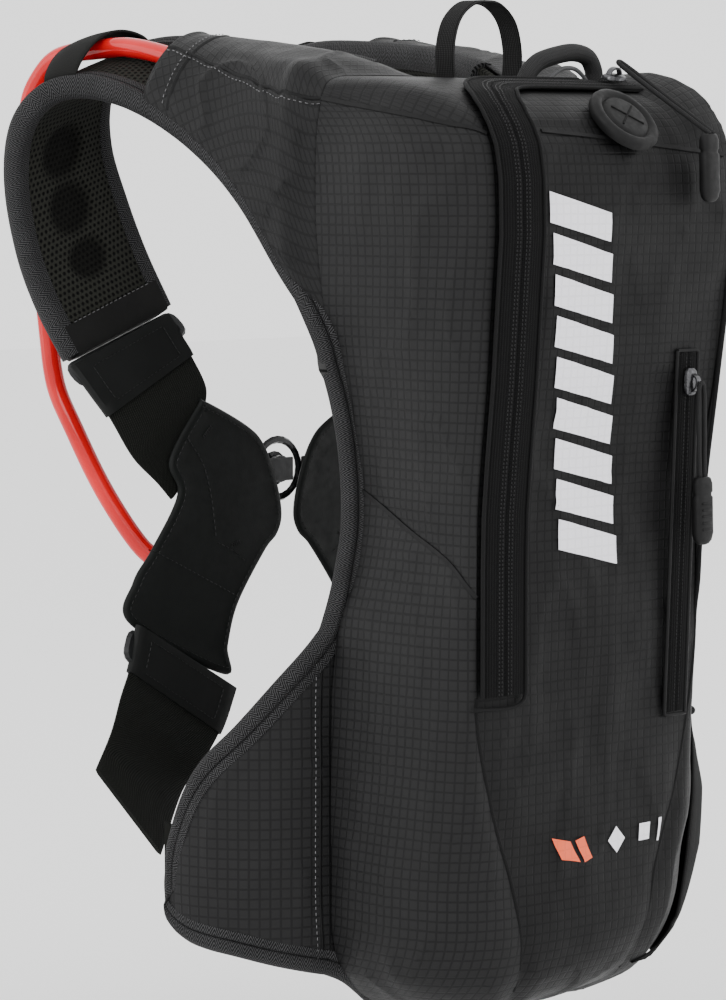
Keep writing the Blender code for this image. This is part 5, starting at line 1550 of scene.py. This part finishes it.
# ---------------------------------------------------------------- port, handles, keeper, valve
def make_port(M):
    """The soft round exit for the tube, with two crossed slits."""
    low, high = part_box("tube_port")[:2]
    out = unit(on_front(0.0165, 0.1820, 0.0034)[1])
    x = np.array([1.0, 0, 0])
    up = np.cross(x, out)
    centre = np.array((low + high) / 2) - out * 0.0012
    rings = []
    for r, h in ((0.0148, -0.0030), (0.0186, -0.0026), (0.0190, 0.0), (0.0184, 0.0014), (0.0170, 0.0024),
                 (0.0156, 0.0027), (0.0142, 0.0022), (0.0136, 0.0012), (0.0130, 0.0010), (0.0124, 0.0014),
                 (0.0119, 0.0022), (0.0100, 0.0025), (0.0060, 0.0026), (0.0015, 0.0026)):
        rings.append([centre + (x * math.cos(a) + up * math.sin(a)) * r + out * h
                      for a in (math.tau * k / 64 for k in range(64))])
    obj = ring_loft("tube_exit_port", rings, M["rubber"])
    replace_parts(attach(obj, "pack"), "tube_port")
    slits = []
    for a in (math.radians(38), math.radians(142)):
        d = x * math.cos(a) + up * math.sin(a)
        line = [centre + d * s + out * 0.0026 for s in np.linspace(-0.0092, 0.0092, 12)]
        # each slit is a thin near-black cord: painted shade where the cut opens
        slits.append(round_tube("gap_shade", line, 0.00055, M["gap_shade"], 8))
    obj = join("tube_exit_slits", slits)
    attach(obj, "pack")


def webbing_band(name, line, wide_axis, width, thick, mat, body):
    line = even(curve(line, 10), 0.0015)
    wide = unit(wide_axis)
    face = [(x * width / 2, thick / 2 * (1 if abs(x) < 0.99 else 0.3)) for x in np.linspace(-1, 1, 14)]
    profile = face + [(x, -y) for x, y in face[::-1]]
    rings = [[p + wide * x + unit(np.cross(a, wide)) * y for x, y in profile]
             for p, a in zip(line, unit(np.gradient(line, axis=0)))]
    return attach(ring_loft(name, rings, mat), body)


def make_handles(M):
    """The haul loop, and the rolled grab handle with a thin cord under it."""
    arch = [(-0.0220, 0.2020), (-0.0228, 0.2170), (-0.0185, 0.2310), (-0.0090, 0.2390), (0.0010, 0.2405),
            (0.0110, 0.2390), (0.0205, 0.2310), (0.0248, 0.2170), (0.0240, 0.2020)]
    loop = webbing_band("haul_webbing", [(x, -0.0185, z) for x, z in arch], (0, 1, 0), 0.0125, 0.0018, M["webbing"],
                        "haul")
    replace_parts(loop, "haul_loop")
    arch = [(0.0070, 0.2020), (0.0110, 0.2075), (0.0180, 0.2120), (0.0300, 0.2150), (0.0420, 0.2165), (0.0520, 0.2145),
            (0.0568, 0.2085), (0.0575, 0.2020)]
    line = even(curve([(x, -0.0430, z) for x, z in arch], 10), 0.0012)
    rolled = round_tube("grab_roll", line, 0.0044, M["rolled"], 26)
    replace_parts(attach(rolled, "grab"), "grab_handle")
    arch = [(0.0220, 0.2000), (0.0250, 0.2045), (0.0330, 0.2085), (0.0420, 0.2085), (0.0490, 0.2045), (0.0520, 0.2000)]
    line = even(curve([(x, -0.0440, z) for x, z in arch], 8), 0.001)
    thin = round_tube("loop_cord", line, 0.0011, M["cord_grey"], 10)
    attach(thin, "grab")


def make_keeper(M, side, label):
    """The flat elastic band that holds the tube to the strap: it arches over the tube on the left."""
    a, b, n = band_frames(STRAP_EDGES, 8)
    t = np.linspace(0, 1, 36)[:, None]
    arch = np.sin(np.pi * t).clip(0) ** 0.75
    arch[-1] = 0
    lift = STRAP_T / 2 + 0.0020 + (0.0125 if side < 0 else 0.0040) * arch
    rows = []
    for k in np.linspace(5.25, 5.95, 9) * 8:
        p, q, up = between(a, k), between(b, k), unit(between(n, k))
        rows.append(p + (q - p) * (0.03 + 0.94 * t) + up * lift)
    grid = mirror_line(rows, side)
    uv = np.array([[(i * 0.003, v) for v in spread(row)] for i, row in enumerate(grid)])
    obj = skin(f"keeper_band_{label}", grid, uv, M["smooth_elastic"], 0.0013)
    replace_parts(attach(obj, "pack"), f"tube_keeper_{label}")


def make_valve(M):
    x, y = -0.0590, 0.1305

    def turned(name, top, profile, mat, node, body="pack", slot="black_plastic", sides=40):
        rings = [[np.array([x + r * math.cos(math.tau * k / sides), y + r * math.sin(math.tau * k / sides), top - h])
                  for k in range(sides)] for h, r in profile]
        obj = ring_loft(name, rings, mat)
        if node:
            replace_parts(obj, node)
        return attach(obj, body)
    collar = turned("valve_sleeve", -0.0625, [
        (0.0, 0.0045), (0.0, 0.0070), (0.0006, 0.0076), (0.0020, 0.0080), (0.0030, 0.0078), (0.0036, 0.0080),
        (0.0046, 0.0078), (0.0052, 0.0080), (0.0090, 0.0080), (0.0104, 0.0072), (0.0110, 0.0060)],
        M["plastic"], "valve_collar")
    bite = turned("bite_mouthpiece", -0.0740, [
        (0.0, 0.0058), (0.0010, 0.0066), (0.0040, 0.0067), (0.0070, 0.0060), (0.0100, 0.0059), (0.0128, 0.0068),
        (0.0150, 0.0077), (0.0185, 0.0080), (0.0212, 0.0077), (0.0238, 0.0064), (0.0256, 0.0046), (0.0260, 0.0020)],
        M["rubber"], "bite_valve", slot="rubber")
    section = [(0.0, 0.0030, 0.0012, 0.6), (0.0006, 0.0038, 0.0016, 0.6), (0.0045, 0.0040, 0.0018, 0.6),
               (0.0084, 0.0038, 0.0016, 0.6), (0.0090, 0.0030, 0.0012, 0.6)]
    lever = loft_profile("valve_lock", np.array([x - 0.0045, y + 0.0105, -0.0690]), (1.0, 0, 0), (0, 1.0, 0), section,
                         M["red"], 24, "lever")
    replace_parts(lever, "valve_lever")
    return collar, bite, lever


# ---------------------------------------------------------------- back panel, pocket and graphics
def make_back(M):
    """The panel against the wearer's back: two padded columns with an air channel between them."""
    half = curve(BACK_OUTLINE, 6)
    front, deep = [], []
    for z in np.linspace(0.2025, -0.2524, 120):
        xs = [p[0] + (q[0] - p[0]) * (z - p[1]) / (q[1] - p[1]) for p, q in zip(half, half[1:])
              if (p[1] - z) * (q[1] - z) <= 0 and p[1] != q[1]]
        wide = max(xs) if xs else 0.001
        for x in np.linspace(-wide, wide, 60):
            edge = min(wide - abs(x), 0.2035 - z, z + 0.2532)
            rim = math.sqrt(min(max(edge / 0.012, 0), 1))
            groove = math.exp(-(x / 0.009) ** 2)
            for gz in (0.115, 0.035, -0.045, -0.125, -0.195):
                groove = max(groove, 0.8 * math.exp(-((z - gz + 0.10 * abs(x)) / 0.0045) ** 2))
            y = -0.0028 + 0.0062 * rim * (1 - 0.62 * groove) + 0.0004 * noise.noise(Vector((x * 40, 3, z * 40)))
            front.append((x, y, z))
            # deep: half the groove mask, painted shade in the grooves through the mesh colour
            deep.append(0.5 * groove)
    front, deep = np.array(front).reshape(120, 60, 3), np.array(deep)
    uv = front[:, :, ::2]
    rear = front * np.array([1, 0, 1]) + np.array([0, -0.0082, 0])
    obj = shell("back_pad", (front, rear), uv, [M["back_mesh"]], (deep, deep * 0), True)
    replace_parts(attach(obj, "pack"), "back_panel")
    return obj


def make_side_pocket(M):
    """The stretch pocket on the right gusset, bowed out, with a bound hem at its mouth."""
    rows = bag_params()
    turns = np.linspace(0, 1, 36)
    levels = np.linspace(-0.229, -0.108, 40)
    grid = []
    for z in levels:
        reach = np.interp(z, [-0.229, -0.212, -0.180, -0.150, -0.125, -0.108],
                          [0.004, 0.018, 0.031, 0.032, 0.023, 0.010])
        wall = [side_x(z, share, rows, False) for share in np.linspace(0, 1, 30)]
        line = []
        for t in turns:
            y = -0.082 + 0.062 * t
            nearest = min(wall, key=lambda p: abs(p[1] - y))
            line.append((-nearest[0] + 0.0020 + reach * math.sin(math.pi * (0.04 + 0.92 * t)), y, z))
        grid.append(line)
    uv = np.array([[(t * 0.06, z) for t in turns] for z in levels])
    obj = skin("side_pocket_stretch", np.array(grid), uv, M["stretch"], 0.0012)
    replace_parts(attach(obj, "pack"), "side_pocket")
    hem = round_tube("side_pocket_hem", even(smooth_line(grid[-1], 2), 0.002), 0.0022, M["binding"], 12)
    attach(hem, "pack")


def patch(name, corners, tree, mat, step=0.0016, lift=0.00055):
    """A printed shape with straight sides, laid on the front. Corners are (x, z), four of them."""
    a, b, c, d = (np.array(p) for p in corners)
    m = max(int(np.linalg.norm(d - a) / step), 2)
    n = max(int(np.linalg.norm(b - a) / step), 2)
    flat = [a + (b - a) * j / n + ((d + (c - d) * j / n) - (a + (b - a) * j / n)) * i / m
            for i in range(m + 1) for j in range(n + 1)]
    where, _ = lay_on(tree, [(p[0], 0, p[1]) for p in flat], lift)
    obj = new_object(name, where, grid_faces(m + 1, n + 1), mat, flat)
    if obj.data.polygons[0].normal.y > 0:
        obj.data.flip_normals()
    return obj


def make_graphics(M, tree):
    """Plain printed bars down the front, and a row of small plain shapes below."""
    bars = []
    for i in range(9):
        top = 0.1500 - 0.0193 * i
        left, right = -0.0425 + 0.0022 * i, -0.0010 + 0.0020 * i
        bars.append([(left, top), (right, top - 0.0105), (right, top - 0.0240), (left, top - 0.0145)])
    slanted = [[(-0.0275, -0.1565), (-0.0150, -0.1595), (-0.0085, -0.1700), (-0.0215, -0.1675)],
               [(-0.0115, -0.1595), (-0.0055, -0.1580), (0.0000, -0.1690), (-0.0055, -0.1705)]]
    plain = [[(0.0182, -0.1560), (0.0244, -0.1625), (0.0182, -0.1690), (0.0120, -0.1625)],
             [(0.0350, -0.1568), (0.0430, -0.1568), (0.0425, -0.1652), (0.0345, -0.1652)],
             [(0.0492, -0.1555), (0.0516, -0.1555), (0.0510, -0.1670), (0.0490, -0.1670)]]
    for name, shapes, ink in (("front_stripes", bars, "white"), ("front_mark_left", slanted, "orange"),
                              ("front_mark_right", plain, "white")):
        obj = join(name, [patch("shape", corners, tree, M[ink]) for corners in shapes])
        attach(obj, "pack")


# ---------------------------------------------------------------- everything
def main():
    make_camera()
    M = make_materials()
    M["cap"] = ripstop("ripstop_cap", (0.0055, 0.0055, 0.0057), (0.0016, 0.0016, 0.0017), 0.0048)
    M["gusset"] = ripstop("ripstop_gusset", (0.0038, 0.0038, 0.0040), (0.0012, 0.0012, 0.0013))
    M["yoke"] = ripstop("ripstop_yoke", (0.0106, 0.0106, 0.0109), (0.0040, 0.0040, 0.0042), 0.0048, True)
    M["fold"] = coated("ripstop_fold", (0.0055, 0.0055, 0.0057))
    M["coated_band"] = coated("strap_end_band", (0.0050, 0.0050, 0.0048))
    M["rolled"] = twill("rolled_tape", (0.012, 0.012, 0.012), (0.040, 0.040, 0.041), 0.0016, 0.02)
    M["cord_grey"] = twill("grey_cord", (0.08, 0.08, 0.082), (0.20, 0.20, 0.205), 0.0010, 0.0016)
    M["stretch"] = elastic("stretch_mesh", (0.003, 0.003, 0.003), (0.018, 0.018, 0.018), 0.0008)
    tube, inner_tube, outside, inside = make_tube(M)
    collar, bite, lever = make_valve(M)
    bag, front, diagonal, yoke_seam, cap = make_bag(M)
    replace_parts(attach(bag, "pack"), "bag_shell")
    tree = tree_of(bag)
    for side, label in ((-1, "left"), (1, "right")):
        yoke, seam, fold = make_yoke(M, side, label)
        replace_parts(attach(yoke, "pack"), f"yoke_cover_{label}")
        yoke_tree = tree_of(yoke)
        seam_on(M, f"yoke_seam_{label}", yoke_tree, seam, -0.0030 if side < 0 else 0.0030)
        seam_on(M, f"sleeve_seam_{label}", yoke_tree, fold[2:-2], 0.0030)
        wing = make_wing(M, side, label)
        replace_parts(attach(wing, "pack"), f"wing_{label}")
        wing_tree = tree_of(wing)
        dart = [(0.0925, -0.066), (0.0935, -0.095), (0.0935, -0.140), (0.0935, -0.190), (0.0920, -0.218)]
        line = mirror_line(np.array([wing_out(s, z, WING_T / 2) for s, z in curve(dart, 12)]), side)
        seam_on(M, f"dart_seam_{label}", wing_tree, line, 0.0030 if side < 0 else -0.0030)
        make_bindings(M, side, label)
        make_strap(M, side, label)
        make_chest(M, side, label)
        make_elastics(M, side, label)
        make_keeper(M, side, label)
    seam_on(M, "diagonal_seam", tree, diagonal)
    seam_on(M, "gusset_yoke_seam", tree, yoke_seam, -0.0030)
    seam_on(M, "cap_seam", tree, cap[2:], -0.0030, "thread_dark")
    low_front = front[(front[:, 2] < -0.083) & (front[:, 2] > -0.234)]
    front_tube(M, "front_left_piping_low", tree, low_front, 0.0013, 0.5)
    st, nn = snap(tree, low_front + np.array([-0.0022, 0.0022, 0]), 0.0003)
    st = sewn("front_left_stitch_low", smooth_line(st, 3), unit(smooth_line(nn, 3)), M["thread_grey"],
              *STITCH)
    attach(st, "pack")
    right_front = right_seam(bag_params())
    right_front = right_front[(right_front[:, 2] < 0.192) & (right_front[:, 2] > -0.234)]
    front_tube(M, "front_right_piping", tree, right_front, 0.0015, 0.3)
    make_zips(M, tree)
    make_sliders(M)
    make_port(M)
    make_handles(M)
    make_back(M)
    make_side_pocket(M)
    make_graphics(M, tree)
    for node, mat in CAD_FINISH.items():
        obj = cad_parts[node]
        obj.data.materials.clear()
        obj.data.materials.append(M[mat])
    make_studio()


main()
